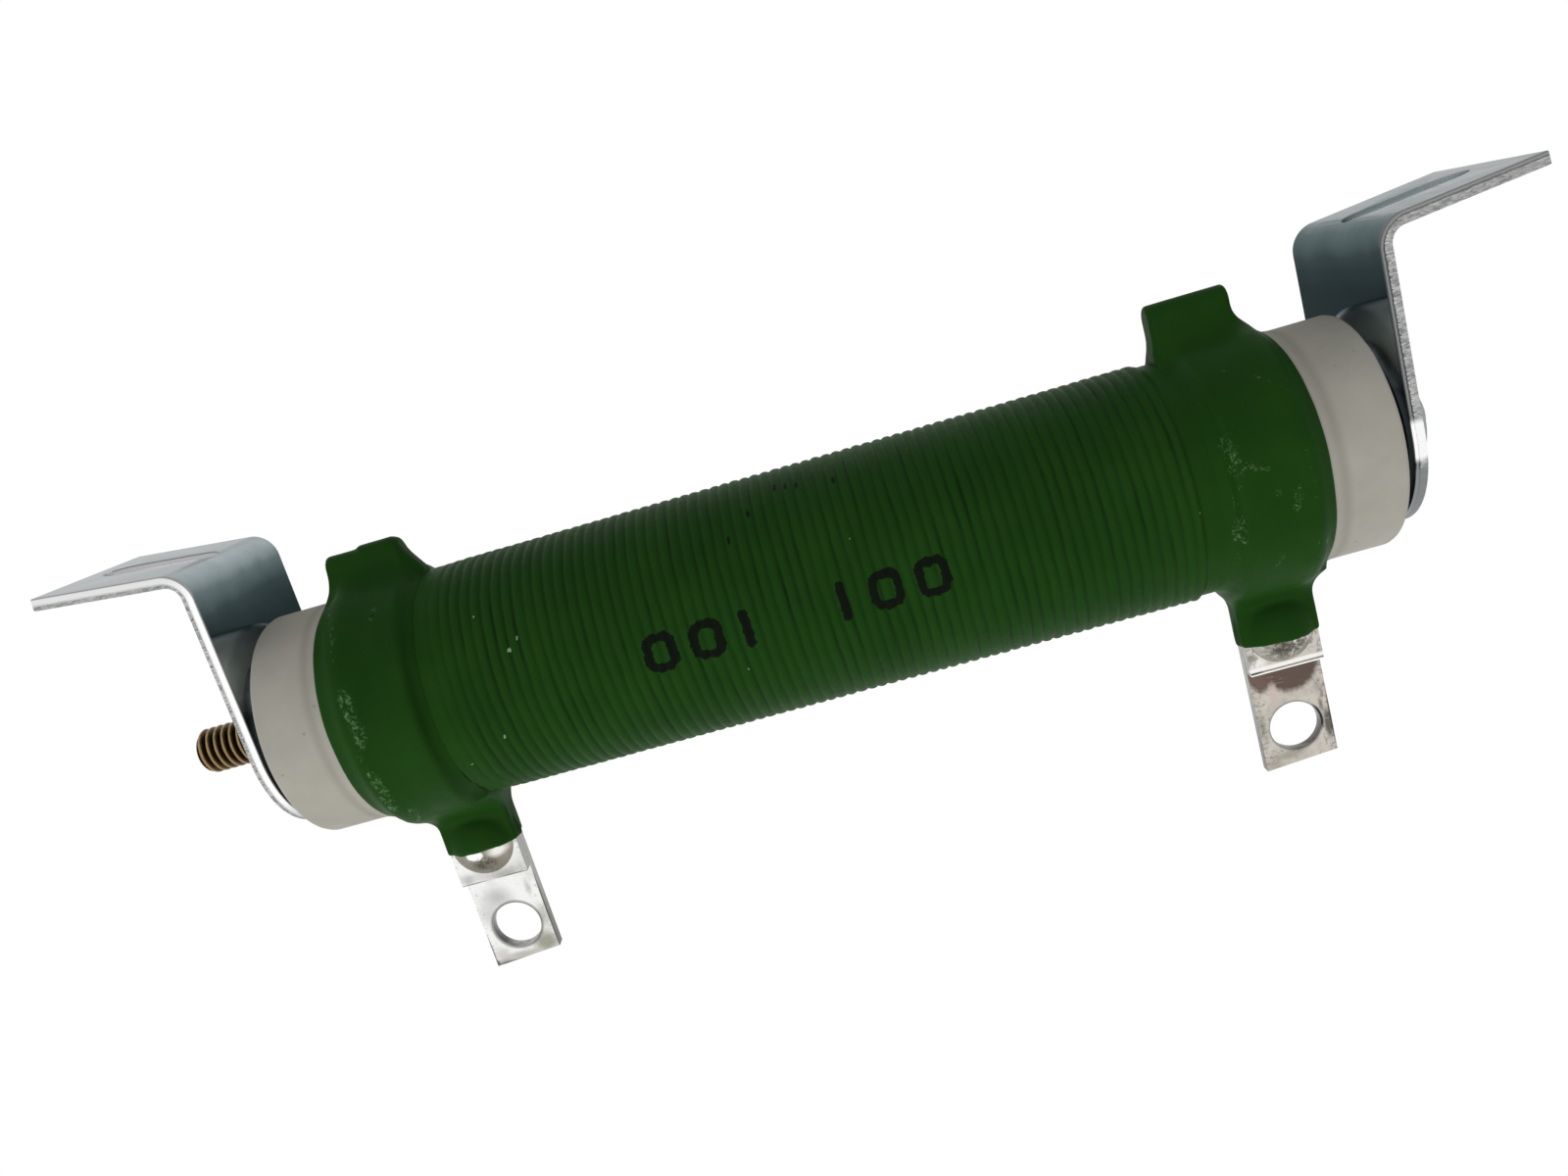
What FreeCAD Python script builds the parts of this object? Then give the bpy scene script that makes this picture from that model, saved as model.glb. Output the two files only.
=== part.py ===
import FreeCAD, Part
import math
import os
from FreeCAD import Vector

# A tubular braking resistor. A ceramic tube lies along X, wound with resistance wire between two
# terminal straps, under a green cement coat. A threaded rod runs through the tube and clamps a bent
# bracket to each end. The feet stand on z = 0, the terminal tabs point up, and the front is -Y.
# All sizes are millimetres. A place called "from the end" is measured from the tube's end face.

# Ceramic tube
tube_length = 90.0
tube_diameter = 19.0
tube_bore_diameter = 12.0
tube_chamfer = 0.4
bare_end_length = 5.65
shoulder_width = 0.85
shoulder_height = 0.1
shoulder_lap = 0.3

# Resistance winding, its wire turns taken as one sleeve
winding_thickness = 0.22
right_winding_gap = 1.15
left_winding_gap = 3.0

# Terminal straps, each one strip of sheet
strap_thickness = 1.0
strap_bend_radius = 1.0
lap_gap = 0.08
ring_width = 5.5
tab_width = 6.1
tab_end_angle = 4.7
right_strap_from_end = 10.4
left_strap_from_end = 9.9
right_tab_shift = -0.35
left_tab_shift = 0.9
right_ear_shift = 0.7
left_ear_shift = -0.95
right_tab_reach = 26.3
left_tab_reach = 26.8
right_ear_reach = 13.1
left_ear_reach = 14.0
flange_reach = 17.85
lug_hole_diameter = 4.3
lug_hole_from_tab_end = 3.25

# Terminal rivets
rivet_from_flange_end = 3.4
rivet_shank_diameter = 2.8
rivet_hole_clearance = 0.1
rivet_head_diameter = 5.5
rivet_head_height = 1.25
rivet_tail_diameter = 4.6
rivet_tail_height = 0.8

# Cement coat
coat_on_tube = 0.12
coat_on_tube_end = 0.25
coat_on_winding = 0.12
coat_on_metal = 0.15
coat_slope = 0.4
coat_edge_radius = 0.2
coat_flare_radius = 1.2
right_ear_web = 1.8
right_coat_past_rivet = 0.25
left_coat_past_rivet = 0.75

# End washers, with a spigot that centres them in the tube
washer_diameter = 14.0
washer_thickness = 1.0
spigot_length = 1.5
spigot_clearance = 0.3

# Mounting brackets
bracket_thickness = 1.0
bracket_width = 16.0
axis_to_foot = 16.0
foot_length = 12.5
foot_slope_angle = 6.2
bend_inner_radius = 1.2
slot_width = 4.3
slot_length = 9.6
slot_from_tip = 1.6

# Through rod and its nuts
rod_diameter = 4.0
rod_chamfer = 0.4
rod_hole_clearance = 0.3
right_rod_stub = 7.8
left_rod_stub = 3.1
nut_across_flats = 7.0
nut_sides = 6
nut_thickness = 2.2
nut_thread_clearance = 0.1

# Angles in degrees, and the distance under which two points count as one
full_turn = 360.0
half_turn = 180.0
same_point = 0.000001

# Places that several pieces share
RIGHT = 1
LEFT = -1
tube_radius = tube_diameter / 2
half_tube = tube_length / 2
foot_slope = math.radians(foot_slope_angle)
axis_height = axis_to_foot + foot_length * math.sin(foot_slope)
axis_point = Vector(0, 0, axis_height)
X_DIRECTION = Vector(1, 0, 0)
Y_DIRECTION = Vector(0, 1, 0)
lap_half = lap_gap / 2
rivet_reach = flange_reach - rivet_from_flange_end
plate_inner_x = half_tube + washer_thickness
plate_outer_x = plate_inner_x + bracket_thickness
coat_edge = half_tube - bare_end_length

# The strap's two layers reach this far from the plane where they lie together, and each bend of
# the strip out of its ring is centred at this place from the tube's axis
lap_outer = lap_half + strap_thickness
bend_centre_y = lap_outer + strap_bend_radius
bend_centre_z = math.sqrt((tube_radius + strap_thickness + strap_bend_radius) ** 2 - bend_centre_y**2)

# What differs from one end to the other, with x outward from the tube's middle
straps = {
    RIGHT: {
        "ring_x": half_tube - right_strap_from_end,
        "tab_shift": right_tab_shift,
        "ear_shift": right_ear_shift,
        "tab_reach": right_tab_reach,
        "ear_reach": right_ear_reach,
        "winding_gap": right_winding_gap,
        "coat_reach": rivet_reach + right_coat_past_rivet,
        "ear_web": right_ear_web,
    },
    LEFT: {
        "ring_x": half_tube - left_strap_from_end,
        "tab_shift": left_tab_shift,
        "ear_shift": left_ear_shift,
        "tab_reach": left_tab_reach,
        "ear_reach": left_ear_reach,
        "winding_gap": left_winding_gap,
        "coat_reach": rivet_reach + left_coat_past_rivet,
        "ear_web": 0.0,
    },
}


def line(start, end):
    return Part.LineSegment(start, end).toShape()


def arc(start, middle, end):
    return Part.Arc(start, middle, end).toShape()


def rounded_face(corners):
    """A face from (point, radius) corners in order, each corner rounded by an arc of its radius."""
    edges = []
    count = len(corners)
    starts = []
    ends = []
    for index, (point, radius) in enumerate(corners):
        to_last = (corners[index - 1][0] - point).normalize()
        to_next = (corners[(index + 1) % count][0] - point).normalize()
        if radius == 0:
            starts.append(point)
            ends.append(point)
            continue
        half_angle = to_last.getAngle(to_next) / 2
        run = radius / math.tan(half_angle)
        starts.append(point + to_last * run)
        ends.append(point + to_next * run)
        bisector = (to_last + to_next).normalize()
        nearest = point + bisector * (radius / math.sin(half_angle) - radius)
        edges.append(arc(starts[-1], nearest, ends[-1]))
    for index in range(count):
        following = (index + 1) % count
        if (starts[following] - ends[index]).Length > same_point:
            edges.append(line(ends[index], starts[following]))
    return Part.Face(Part.Wire(Part.__sortEdges__(edges)))


def revolved(profile):
    """A solid turned about the tube's axis from (x, radius) corners with their rounding radii."""
    corners = [(Vector(x, 0, axis_height + radius), rounding) for x, radius, rounding in profile]
    return rounded_face(corners).revolve(axis_point, X_DIRECTION, full_turn)


def cylinder_x(radius, start_x, end_x):
    return Part.makeCylinder(radius, end_x - start_x, Vector(start_x, 0, axis_height), X_DIRECTION)


def side_prism(edges, centre_x, width):
    """A closed outline in the YZ plane, extruded along X to both sides of a place."""
    face = Part.Face(Part.Wire(Part.__sortEdges__(edges)))
    face.translate(Vector(centre_x - width / 2, 0, 0))
    return face.extrude(Vector(width, 0, 0))


def front_prism(outline):
    """An outline of (x, height over the axis, rounding) corners, extruded along Y past the straps."""
    half_depth = tube_radius + strap_thickness + strap_bend_radius
    corners = [(Vector(x, -half_depth, axis_height + z), rounding) for x, z, rounding in outline]
    return rounded_face(corners).extrude(Vector(0, 2 * half_depth, 0))


# Ceramic tube: a plain bore, and a slightly raised shoulder where the coat ends


def ceramic_tube():
    bore_radius = tube_bore_diameter / 2
    shoulder_outer = coat_edge + shoulder_width
    shoulder_inner = coat_edge - shoulder_lap
    shoulder_radius = tube_radius + shoulder_height
    half_profile = [
        (half_tube, bore_radius, 0),
        (half_tube, tube_radius - tube_chamfer, 0),
        (half_tube - tube_chamfer, tube_radius, 0),
        (shoulder_outer, tube_radius, 0),
        (shoulder_outer - shoulder_height, shoulder_radius, 0),
        (shoulder_inner, shoulder_radius, 0),
        (shoulder_inner, tube_radius, 0),
    ]
    mirrored = [(-x, radius, rounding) for x, radius, rounding in reversed(half_profile)]
    return revolved(half_profile + mirrored)


# Winding: the sleeve of wire turns between the two straps


def winding_end(side):
    strap = straps[side]
    return side * (strap["ring_x"] - ring_width / 2 - strap["winding_gap"])


def resistance_winding():
    outer = cylinder_x(tube_radius + winding_thickness, winding_end(LEFT), winding_end(RIGHT))
    return outer.cut(cylinder_x(tube_radius, winding_end(LEFT), winding_end(RIGHT)))


# Terminal straps: a strip that leaves the front flange, hugs the tube, folds into the ear below
# the tube, hugs the other side and ends in the long tab with the lug hole


def in_quadrant(point, y_sign, z_sign):
    """A point of the upper back quadrant, carried into another quadrant round the axis."""
    return axis_point + Vector(0, y_sign * point.y, z_sign * point.z)


def bend_points(offset):
    """The upper back bend at an offset from the strip's tube side: straight end, middle, ring end."""
    centre = Vector(0, bend_centre_y, bend_centre_z)
    radius = strap_bend_radius + strap_thickness - offset
    inward = (centre * -1).normalize()
    sideways = Vector(0, -1, 0)
    middle = centre + (inward + sideways).normalize() * radius
    return centre + sideways * radius, middle, centre + inward * radius


def strap_line(offset, back_reach, front_reach, ear_reach):
    """One surface of the strip in the YZ plane, at an offset from its tube side."""
    bend = bend_points(offset)
    straight_end, _, ring_end = bend
    flank = Vector(0, tube_radius + offset, 0)
    fold_start = Vector(0, straight_end.y, ear_reach - lap_outer)
    fold_tip = Vector(0, 0, fold_start.z + straight_end.y)
    edges = []
    for y_sign, reach in ((1, back_reach), (-1, front_reach)):
        for z_sign in (1, -1):
            edges.append(arc(*[in_quadrant(point, y_sign, z_sign) for point in bend]))
        strip_end = in_quadrant(Vector(0, straight_end.y, reach), y_sign, 1)
        edges.append(line(strip_end, in_quadrant(straight_end, y_sign, 1)))
        ring_ends = [in_quadrant(ring_end, y_sign, z_sign) for z_sign in (1, -1)]
        edges.append(arc(ring_ends[0], in_quadrant(flank, y_sign, 1), ring_ends[1]))
        edges.append(line(in_quadrant(straight_end, y_sign, -1), in_quadrant(fold_start, y_sign, -1)))
    fold_ends = [in_quadrant(fold_start, y_sign, -1) for y_sign in (1, -1)]
    edges.append(arc(fold_ends[0], in_quadrant(fold_tip, 1, -1), fold_ends[1]))
    return edges


def strap_plan(side, spare):
    """The strip's outline seen from the front, as a prism through the whole strap."""
    strap = straps[side]
    ring_x = side * strap["ring_x"]
    ear_x = side * (strap["ring_x"] + strap["ear_shift"])
    tab_x = tab_centre_x(side)
    ring_half = ring_width / 2
    tab_half = tab_width / 2
    ring_edge = tube_radius + strap_thickness
    slant = math.tan(math.radians(tab_end_angle)) * tab_half
    outline = [
        (ring_x - ring_half, ring_edge),
        (tab_x - tab_half, ring_edge),
        (tab_x - tab_half, strap["tab_reach"] - slant),
        (tab_x + tab_half, strap["tab_reach"] + slant),
        (tab_x + tab_half, ring_edge),
        (ring_x + ring_half, ring_edge),
        (ring_x + ring_half, -ring_edge),
        (ear_x + tab_half, -ring_edge),
        (ear_x + tab_half, -strap["ear_reach"] - spare),
        (ear_x - tab_half, -strap["ear_reach"] - spare),
        (ear_x - tab_half, -ring_edge),
        (ring_x - ring_half, -ring_edge),
    ]
    return front_prism([(x, z, 0) for x, z in outline])


def strap_sheet(side, filled):
    """The bent strip before its holes, or with filled, all that its outer surface encloses."""
    strap = straps[side]
    spare = tab_width
    back_reach = strap["tab_reach"] + spare
    front_reach = back_reach if filled else flange_reach
    reaches = (back_reach, front_reach, strap["ear_reach"])
    edges = strap_line(strap_thickness, *reaches)
    if filled:
        corner = Vector(0, lap_outer, back_reach)
        edges.append(line(in_quadrant(corner, 1, 1), in_quadrant(corner, -1, 1)))
    else:
        edges += strap_line(0, *reaches)
        for y_sign, reach in ((1, back_reach), (-1, front_reach)):
            inner_corner = in_quadrant(Vector(0, lap_half, reach), y_sign, 1)
            outer_corner = in_quadrant(Vector(0, lap_outer, reach), y_sign, 1)
            edges.append(line(inner_corner, outer_corner))
    return side_prism(edges, side * strap["ring_x"], ring_width + tab_width).common(strap_plan(side, spare))


def tab_centre_x(side):
    return side * (straps[side]["ring_x"] + straps[side]["tab_shift"])


def hole_through_strap(side, diameter, reach):
    depth = 2 * bend_centre_y
    start = Vector(tab_centre_x(side), -depth / 2, axis_height + reach)
    return Part.makeCylinder(diameter / 2, depth, start, Y_DIRECTION)


def terminal_band(side):
    lug_hole_reach = straps[side]["tab_reach"] - lug_hole_from_tab_end
    lug_hole = hole_through_strap(side, lug_hole_diameter, lug_hole_reach)
    rivet_hole = hole_through_strap(side, rivet_shank_diameter + rivet_hole_clearance, rivet_reach)
    return strap_sheet(side, False).cut(lug_hole).cut(rivet_hole)


# Rivets: a domed head in front, a shank through both layers and an upset tail behind


def dome(side, diameter, height, facing):
    """A spherical cap on the strap's front (facing -1) or back (facing 1), centred on the rivet."""
    sphere_radius = ((diameter / 2) ** 2 + height**2) / (2 * height)
    seat = Vector(tab_centre_x(side), facing * lap_outer, axis_height + rivet_reach)
    outward = Vector(0, facing, 0)
    sphere = Part.makeSphere(sphere_radius, seat + outward * (height - sphere_radius))
    return sphere.common(Part.makeCylinder(sphere_radius, 2 * sphere_radius, seat, outward))


def terminal_rivet(side):
    start = Vector(tab_centre_x(side), -lap_outer, axis_height + rivet_reach)
    shank = Part.makeCylinder(rivet_shank_diameter / 2, 2 * lap_outer, start, Y_DIRECTION)
    head = dome(side, rivet_head_diameter, rivet_head_height, -1)
    tail = dome(side, rivet_tail_diameter, rivet_tail_height, 1)
    return shank.fuse([head, tail]).removeSplitter()


# Cement coat: turned over tube, winding and rings, and carried out over the ears, the tab roots
# and the inner part of each rivet


def turned_coat():
    end_radius = tube_radius + coat_on_tube_end
    plain_radius = tube_radius + coat_on_tube
    ring_radius = tube_radius + strap_thickness + coat_on_metal
    winding_radius = tube_radius + winding_thickness + coat_on_winding

    def half_profile(side):
        ring_x = straps[side]["ring_x"]
        ring_outer_x = ring_x + ring_width / 2 + coat_on_metal
        ring_inner_x = ring_x - ring_width / 2 - coat_on_metal
        winding_x = side * winding_end(side)
        return [
            (side * coat_edge, end_radius, coat_edge_radius),
            (side * (ring_outer_x + coat_slope), end_radius, 0),
            (side * ring_outer_x, ring_radius, 0),
            (side * ring_inner_x, ring_radius, 0),
            (side * (ring_inner_x - coat_slope), plain_radius, 0),
            (side * (winding_x + coat_on_winding), plain_radius, 0),
            (side * winding_x, winding_radius, 0),
        ]

    inside = tube_bore_diameter / 2
    ends = [(-coat_edge, inside, 0), (coat_edge, inside, 0)]
    return revolved(half_profile(RIGHT) + list(reversed(half_profile(LEFT))) + ends)


def coat_cover(side, centre_x, reach, tip_height, tip_rounding, web):
    """The coat over an upright tab root or ear: curved out into the ring in side view, and in front
    view flared at its roots, with a web on the side towards the winding."""
    bend = bend_points(strap_thickness + coat_on_metal)
    straight_end, _, ring_end = bend
    half_thickness = straight_end.y
    edges = []
    for y_sign in (1, -1):
        shoulder = in_quadrant(Vector(0, half_thickness, reach - tip_height), y_sign, 1)
        edges.append(line(shoulder, in_quadrant(straight_end, y_sign, 1)))
        edges.append(arc(*[in_quadrant(point, y_sign, 1) for point in bend]))
        edges.append(line(in_quadrant(ring_end, y_sign, 1), axis_point))
    shoulders = [Vector(0, y_sign * half_thickness, axis_height + reach - tip_height) for y_sign in (1, -1)]
    tip = axis_point + Vector(0, 0, reach)
    edges.append(arc(shoulders[0], tip, shoulders[1]) if tip_height else line(*shoulders))

    half_width = tab_width / 2 + coat_on_metal
    root = math.sqrt((tube_radius + coat_on_tube) ** 2 - half_thickness**2)
    spread = 2 * coat_flare_radius + web
    inner_x = centre_x - side * half_width
    outer_x = centre_x + side * half_width
    outline = [
        (inner_x - side * spread, root, 0),
        (inner_x - side * web, root, coat_flare_radius),
        (inner_x, reach, tip_rounding),
        (outer_x, reach, tip_rounding),
        (outer_x, root, coat_flare_radius),
        (outer_x + side * spread, root, 0),
        (outer_x + side * spread, 0, 0),
        (inner_x - side * spread, 0, 0),
    ]
    section = side_prism(edges, centre_x, 2 * (half_width + spread))
    coat_zone = cylinder_x(tube_length, -coat_edge, coat_edge)
    return section.common(front_prism(outline)).common(coat_zone)


def coat_over_tab(side):
    return coat_cover(side, tab_centre_x(side), straps[side]["coat_reach"], 0, 0, 0)


def coat_over_ear(side):
    strap = straps[side]
    ear_x = side * (strap["ring_x"] + strap["ear_shift"])
    reach = strap["ear_reach"] + coat_on_metal
    tip_height = lap_outer + coat_on_metal
    cover = coat_cover(side, ear_x, reach, tip_height, coat_edge_radius, strap["ear_web"])
    return cover.rotate(axis_point, X_DIRECTION, half_turn)


def coat_over_rivet(side, diameter, height, facing):
    cover = dome(side, diameter + 2 * coat_on_metal, height + coat_on_metal, facing)
    width = 2 * diameter
    corner = Vector(tab_centre_x(side) - width / 2, -width / 2, axis_height)
    return cover.common(Part.makeBox(width, width, straps[side]["coat_reach"], corner))


def cement_coat(tube, winding, rivets):
    covers = []
    hollows = [tube, winding, cylinder_x(tube_radius, -coat_edge, coat_edge)]
    for side in (RIGHT, LEFT):
        covers.append(coat_over_tab(side))
        covers.append(coat_over_ear(side))
        covers.append(coat_over_rivet(side, rivet_head_diameter, rivet_head_height, -1))
        covers.append(coat_over_rivet(side, rivet_tail_diameter, rivet_tail_height, 1))
        hollows.append(strap_sheet(side, True))
        hollows.append(rivets[side])
    return turned_coat().fuse(covers).removeSplitter().cut(hollows)


# End washers: stepped, with the spigot in the tube's bore


def end_washer(side):
    spigot_radius = (tube_bore_diameter - spigot_clearance) / 2
    flange = cylinder_x(washer_diameter / 2, half_tube, plate_inner_x)
    spigot = cylinder_x(spigot_radius, half_tube - spigot_length, half_tube)
    bore = cylinder_x((rod_diameter + rod_hole_clearance) / 2, half_tube - spigot_length, plate_inner_x)
    washer = flange.fuse(spigot).cut(bore).removeSplitter()
    return washer if side == RIGHT else washer.mirror(Vector(0, 0, 0), X_DIRECTION)


# Mounting brackets: a round-ended plate on the rod, bent outward into a sloping slotted foot


def mounting_bracket(side):
    along = Vector(math.cos(foot_slope), 0, -math.sin(foot_slope))
    upward = Vector(math.sin(foot_slope), 0, math.cos(foot_slope))
    bend_outer_radius = bend_inner_radius + bracket_thickness
    plate_top = axis_height + bracket_width / 2
    corner = Vector(plate_inner_x, 0, axis_height - axis_to_foot)
    tip = corner + along * foot_length
    inner_rise = (bracket_thickness - upward.x * bracket_thickness) / along.x
    inner_corner = corner + upward * bracket_thickness + along * inner_rise
    outline = [
        (Vector(plate_inner_x, 0, plate_top), 0),
        (corner, bend_outer_radius),
        (tip, 0),
        (tip + upward * bracket_thickness, 0),
        (inner_corner, bend_inner_radius),
        (Vector(plate_outer_x, 0, plate_top), 0),
    ]
    sheet = rounded_face(outline)
    sheet.translate(Vector(0, -bracket_width / 2, 0))
    sheet = sheet.extrude(Vector(0, bracket_width, 0))

    half_width = bracket_width / 2
    start_x = corner.x - bracket_thickness
    length = foot_length + 2 * bracket_thickness
    below = Part.makeBox(length, bracket_width, axis_height, Vector(start_x, -half_width, 0))
    round_end = cylinder_x(half_width, start_x, start_x + length)
    sheet = sheet.common(below.fuse(round_end))

    rod_radius = (rod_diameter + rod_hole_clearance) / 2
    sheet = sheet.cut(cylinder_x(rod_radius, start_x, start_x + length))
    sheet = sheet.cut(foot_slot(tip.x - slot_from_tip))
    return sheet if side == RIGHT else sheet.mirror(Vector(0, 0, 0), X_DIRECTION)


def foot_slot(outer_x):
    """A round-ended upright prism through the foot, for a screw square to the panel."""
    slot_radius = slot_width / 2
    depth = axis_height / 2
    outer_centre = Vector(outer_x - slot_radius, 0, -depth / 2)
    inner_centre = outer_centre - X_DIRECTION * (slot_length - slot_width)
    corner = inner_centre - Y_DIRECTION * slot_radius
    slot = Part.makeBox(slot_length - slot_width, slot_width, depth, corner)
    ends = [Part.makeCylinder(slot_radius, depth, centre) for centre in (outer_centre, inner_centre)]
    return slot.fuse(ends).removeSplitter()


# Through rod and nuts


def through_rod():
    right_end = plate_outer_x + right_rod_stub
    left_end = plate_outer_x + left_rod_stub
    rod_radius = rod_diameter / 2
    profile = [
        (-left_end, 0, 0),
        (-left_end, rod_radius - rod_chamfer, 0),
        (-left_end + rod_chamfer, rod_radius, 0),
        (right_end - rod_chamfer, rod_radius, 0),
        (right_end, rod_radius - rod_chamfer, 0),
        (right_end, 0, 0),
    ]
    return revolved(profile)


def rod_nut(side):
    corner_radius = nut_across_flats / math.sqrt(3)
    corners = []
    for index in range(nut_sides + 1):
        angle = math.radians(full_turn / nut_sides * index)
        offset = Vector(0, corner_radius * math.sin(angle), corner_radius * math.cos(angle))
        corners.append(Vector(plate_outer_x, 0, axis_height) + offset)
    blank = Part.Face(Part.makePolygon(corners)).extrude(Vector(nut_thickness, 0, 0))
    flat_radius = nut_across_flats / 2
    chamfer_height = (corner_radius - flat_radius) / 2
    nut_outer_x = plate_outer_x + nut_thickness
    envelope = revolved([
        (plate_outer_x, 0, 0),
        (plate_outer_x, flat_radius, 0),
        (plate_outer_x + chamfer_height, corner_radius, 0),
        (nut_outer_x - chamfer_height, corner_radius, 0),
        (nut_outer_x, flat_radius, 0),
        (nut_outer_x, 0, 0),
    ])
    thread = cylinder_x((rod_diameter + nut_thread_clearance) / 2, plate_outer_x, nut_outer_x)
    nut = blank.common(envelope).cut(thread)
    return nut if side == RIGHT else nut.mirror(Vector(0, 0, 0), X_DIRECTION)


# Every piece under its own name


def export(name, shape):
    solids = shape.Solids
    print(name, len(solids), "solid", shape.isValid(), round(shape.Volume, 2))
    shape = solids[0] if len(solids) == 1 else shape
    shape.exportStep("parts/" + name + ".step")


os.makedirs("parts", exist_ok=True)
tube = ceramic_tube()
winding = resistance_winding()
rivets = {side: terminal_rivet(side) for side in (RIGHT, LEFT)}
export("ceramic_tube", tube)
export("resistance_winding", winding)
export("cement_coat", cement_coat(tube, winding, rivets))
export("through_rod", through_rod())
for side, name in ((RIGHT, "right"), (LEFT, "left")):
    export("terminal_band_" + name, terminal_band(side))
    export("terminal_rivet_" + name, rivets[side])
    export("end_washer_" + name, end_washer(side))
    export("mounting_bracket_" + name, mounting_bracket(side))
    export("rod_nut_" + name, rod_nut(side))
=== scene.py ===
import bmesh
import bpy
import math
import numpy as np
from mathutils import Matrix, Vector, noise


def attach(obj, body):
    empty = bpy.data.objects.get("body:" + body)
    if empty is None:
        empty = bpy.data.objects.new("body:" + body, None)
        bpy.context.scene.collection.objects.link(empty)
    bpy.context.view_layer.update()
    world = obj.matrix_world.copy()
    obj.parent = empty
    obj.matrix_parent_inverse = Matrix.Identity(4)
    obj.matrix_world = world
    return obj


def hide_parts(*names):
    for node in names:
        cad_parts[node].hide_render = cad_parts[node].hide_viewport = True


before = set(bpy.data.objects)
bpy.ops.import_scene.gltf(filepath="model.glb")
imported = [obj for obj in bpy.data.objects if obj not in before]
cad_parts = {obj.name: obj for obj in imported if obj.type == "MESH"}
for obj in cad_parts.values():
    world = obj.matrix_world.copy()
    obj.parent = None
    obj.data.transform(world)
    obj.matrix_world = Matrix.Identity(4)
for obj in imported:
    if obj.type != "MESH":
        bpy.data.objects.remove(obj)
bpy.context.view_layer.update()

# Camera. A short lens just under the level of the feet, rolled so that the resistor hangs upside
# down in the picture and climbs to the right, as it was photographed.
MM = 0.001


def new_object(name, data):
    """An object in the scene that holds this mesh, camera or lamp."""
    made = bpy.data.objects.new(name, data)
    bpy.context.scene.collection.objects.link(made)
    return made


camera_place = Vector((-5.913, -98.966, -5.357)) * MM
camera_right = Vector((-0.95936, 0.01713, 0.28165)).normalized()
camera_back = Vector((-0.08239, -0.97166, -0.22155))
camera_back = (camera_back - camera_right * camera_back.dot(camera_right)).normalized()
camera_up = camera_back.cross(camera_right)
camera_data = bpy.data.cameras.new("camera")
camera_data.lens = 28.02
camera_data.sensor_width = 36.0
camera_data.clip_start = 1 * MM
camera = new_object("camera", camera_data)
camera.matrix_world = Matrix.Translation(camera_place) @ Matrix(
    (camera_right, camera_up, camera_back)
).transposed().to_4x4()
bpy.context.scene.camera = camera


# Ceramic tube. An extruded and fired tube of porous cordierite, bare at both ends, where it is
# pale grey-beige with faint stains. A slightly raised shoulder marks where the coat was dipped to.
AXIS_Z = 17.35
RIGHT = 1
LEFT = -1
SIDE_NAMES = {RIGHT: "right", LEFT: "left"}
tube_radius = 9.5
tube_half = 45.0
tube_bore_radius = 6.0
tube_chamfer = 0.4
coat_edge = 39.35
shoulder_width = 0.85
shoulder_radius = 9.6
shoulder_inner = 39.05
shoulder_fall_start = coat_edge + shoulder_width - 0.45
shoulder_fall_end = coat_edge + shoulder_width + 0.15
merge_distance = 0.0005 * MM


def linear(code):
    """An sRGB hex colour as the linear numbers that a socket takes."""
    parts = [int(code[digit:digit + 2], 16) / 255 for digit in (1, 3, 5)]
    parts = [part / 12.92 if part <= 0.04045 else ((part + 0.055) / 1.055) ** 2.4 for part in parts]
    return (*parts, 1.0)


def add_node(tree, kind, inputs=None, read=None, **settings):
    """Adds a node, sets it up, links or fills its inputs, and gives one output: the first live one, or read.

    The kind is the node's own. Its operation, or its kind of data, may follow after a space.
    """
    kind, _, mode = kind.partition(" ")
    node = tree.nodes.new(kind if "Node" in kind else "ShaderNode" + kind)
    if mode:
        settings["data_type" if kind == "Mix" else "operation"] = mode
    for key, value in settings.items():
        setattr(node, key, value)
    for key, value in (inputs or {}).items():
        if isinstance(value, bpy.types.NodeSocket):
            tree.links.new(value, node.inputs[key])
        elif isinstance(value, str) and value.startswith("#"):
            node.inputs[key].default_value = linear(value)
        else:
            node.inputs[key].default_value = value
    if read:
        return node.outputs[read]
    return next((output for output in node.outputs if output.enabled), None)


def set_stops(ramp, reach, stops):
    """Sets the stops of a colour ramp: each a place between 0 and reach, and a tone."""
    elements = ramp.node.color_ramp.elements
    while len(elements) < len(stops):
        elements.new(1.0)
    for element, (rise, code) in zip(elements, stops):
        element.position = rise / reach
        element.color = linear(code)


def start_material(name):
    """An empty node material: its tree, and the place on the surface in millimetres."""
    material = bpy.data.materials.new(name)
    material.use_nodes = True
    tree = material.node_tree
    tree.nodes.clear()
    place = add_node(tree, "TexCoord", read="Object")
    return material, tree, add_node(tree, "VectorMath SCALE", {0: place, "Scale": 1 / MM})


def turned(name, profile, segments):
    """A solid turned about the tube's axis from a closed outline of (x, radius) in mm."""
    count = len(profile)
    points = []
    faces = []
    for turn in range(segments):
        angle = 2 * math.pi * turn / segments
        following = (turn + 1) % segments
        for index, (x, radius) in enumerate(profile):
            points.append((x * MM, radius * math.cos(angle) * MM, (AXIS_Z + radius * math.sin(angle)) * MM))
            beside = (index + 1) % count
            if radius or profile[beside][1]:
                near = (turn * count + index, turn * count + beside)
                far = (following * count + beside, following * count + index)
                faces.append(near + far)
    mesh = bpy.data.meshes.new(name)
    mesh.from_pydata(points, [], faces)
    shape = bmesh.new()
    shape.from_mesh(mesh)
    bmesh.ops.remove_doubles(shape, verts=shape.verts, dist=merge_distance)
    shape.to_mesh(mesh)
    shape.free()
    return new_object(name, mesh)


sharp_angle = math.radians(28)


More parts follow.
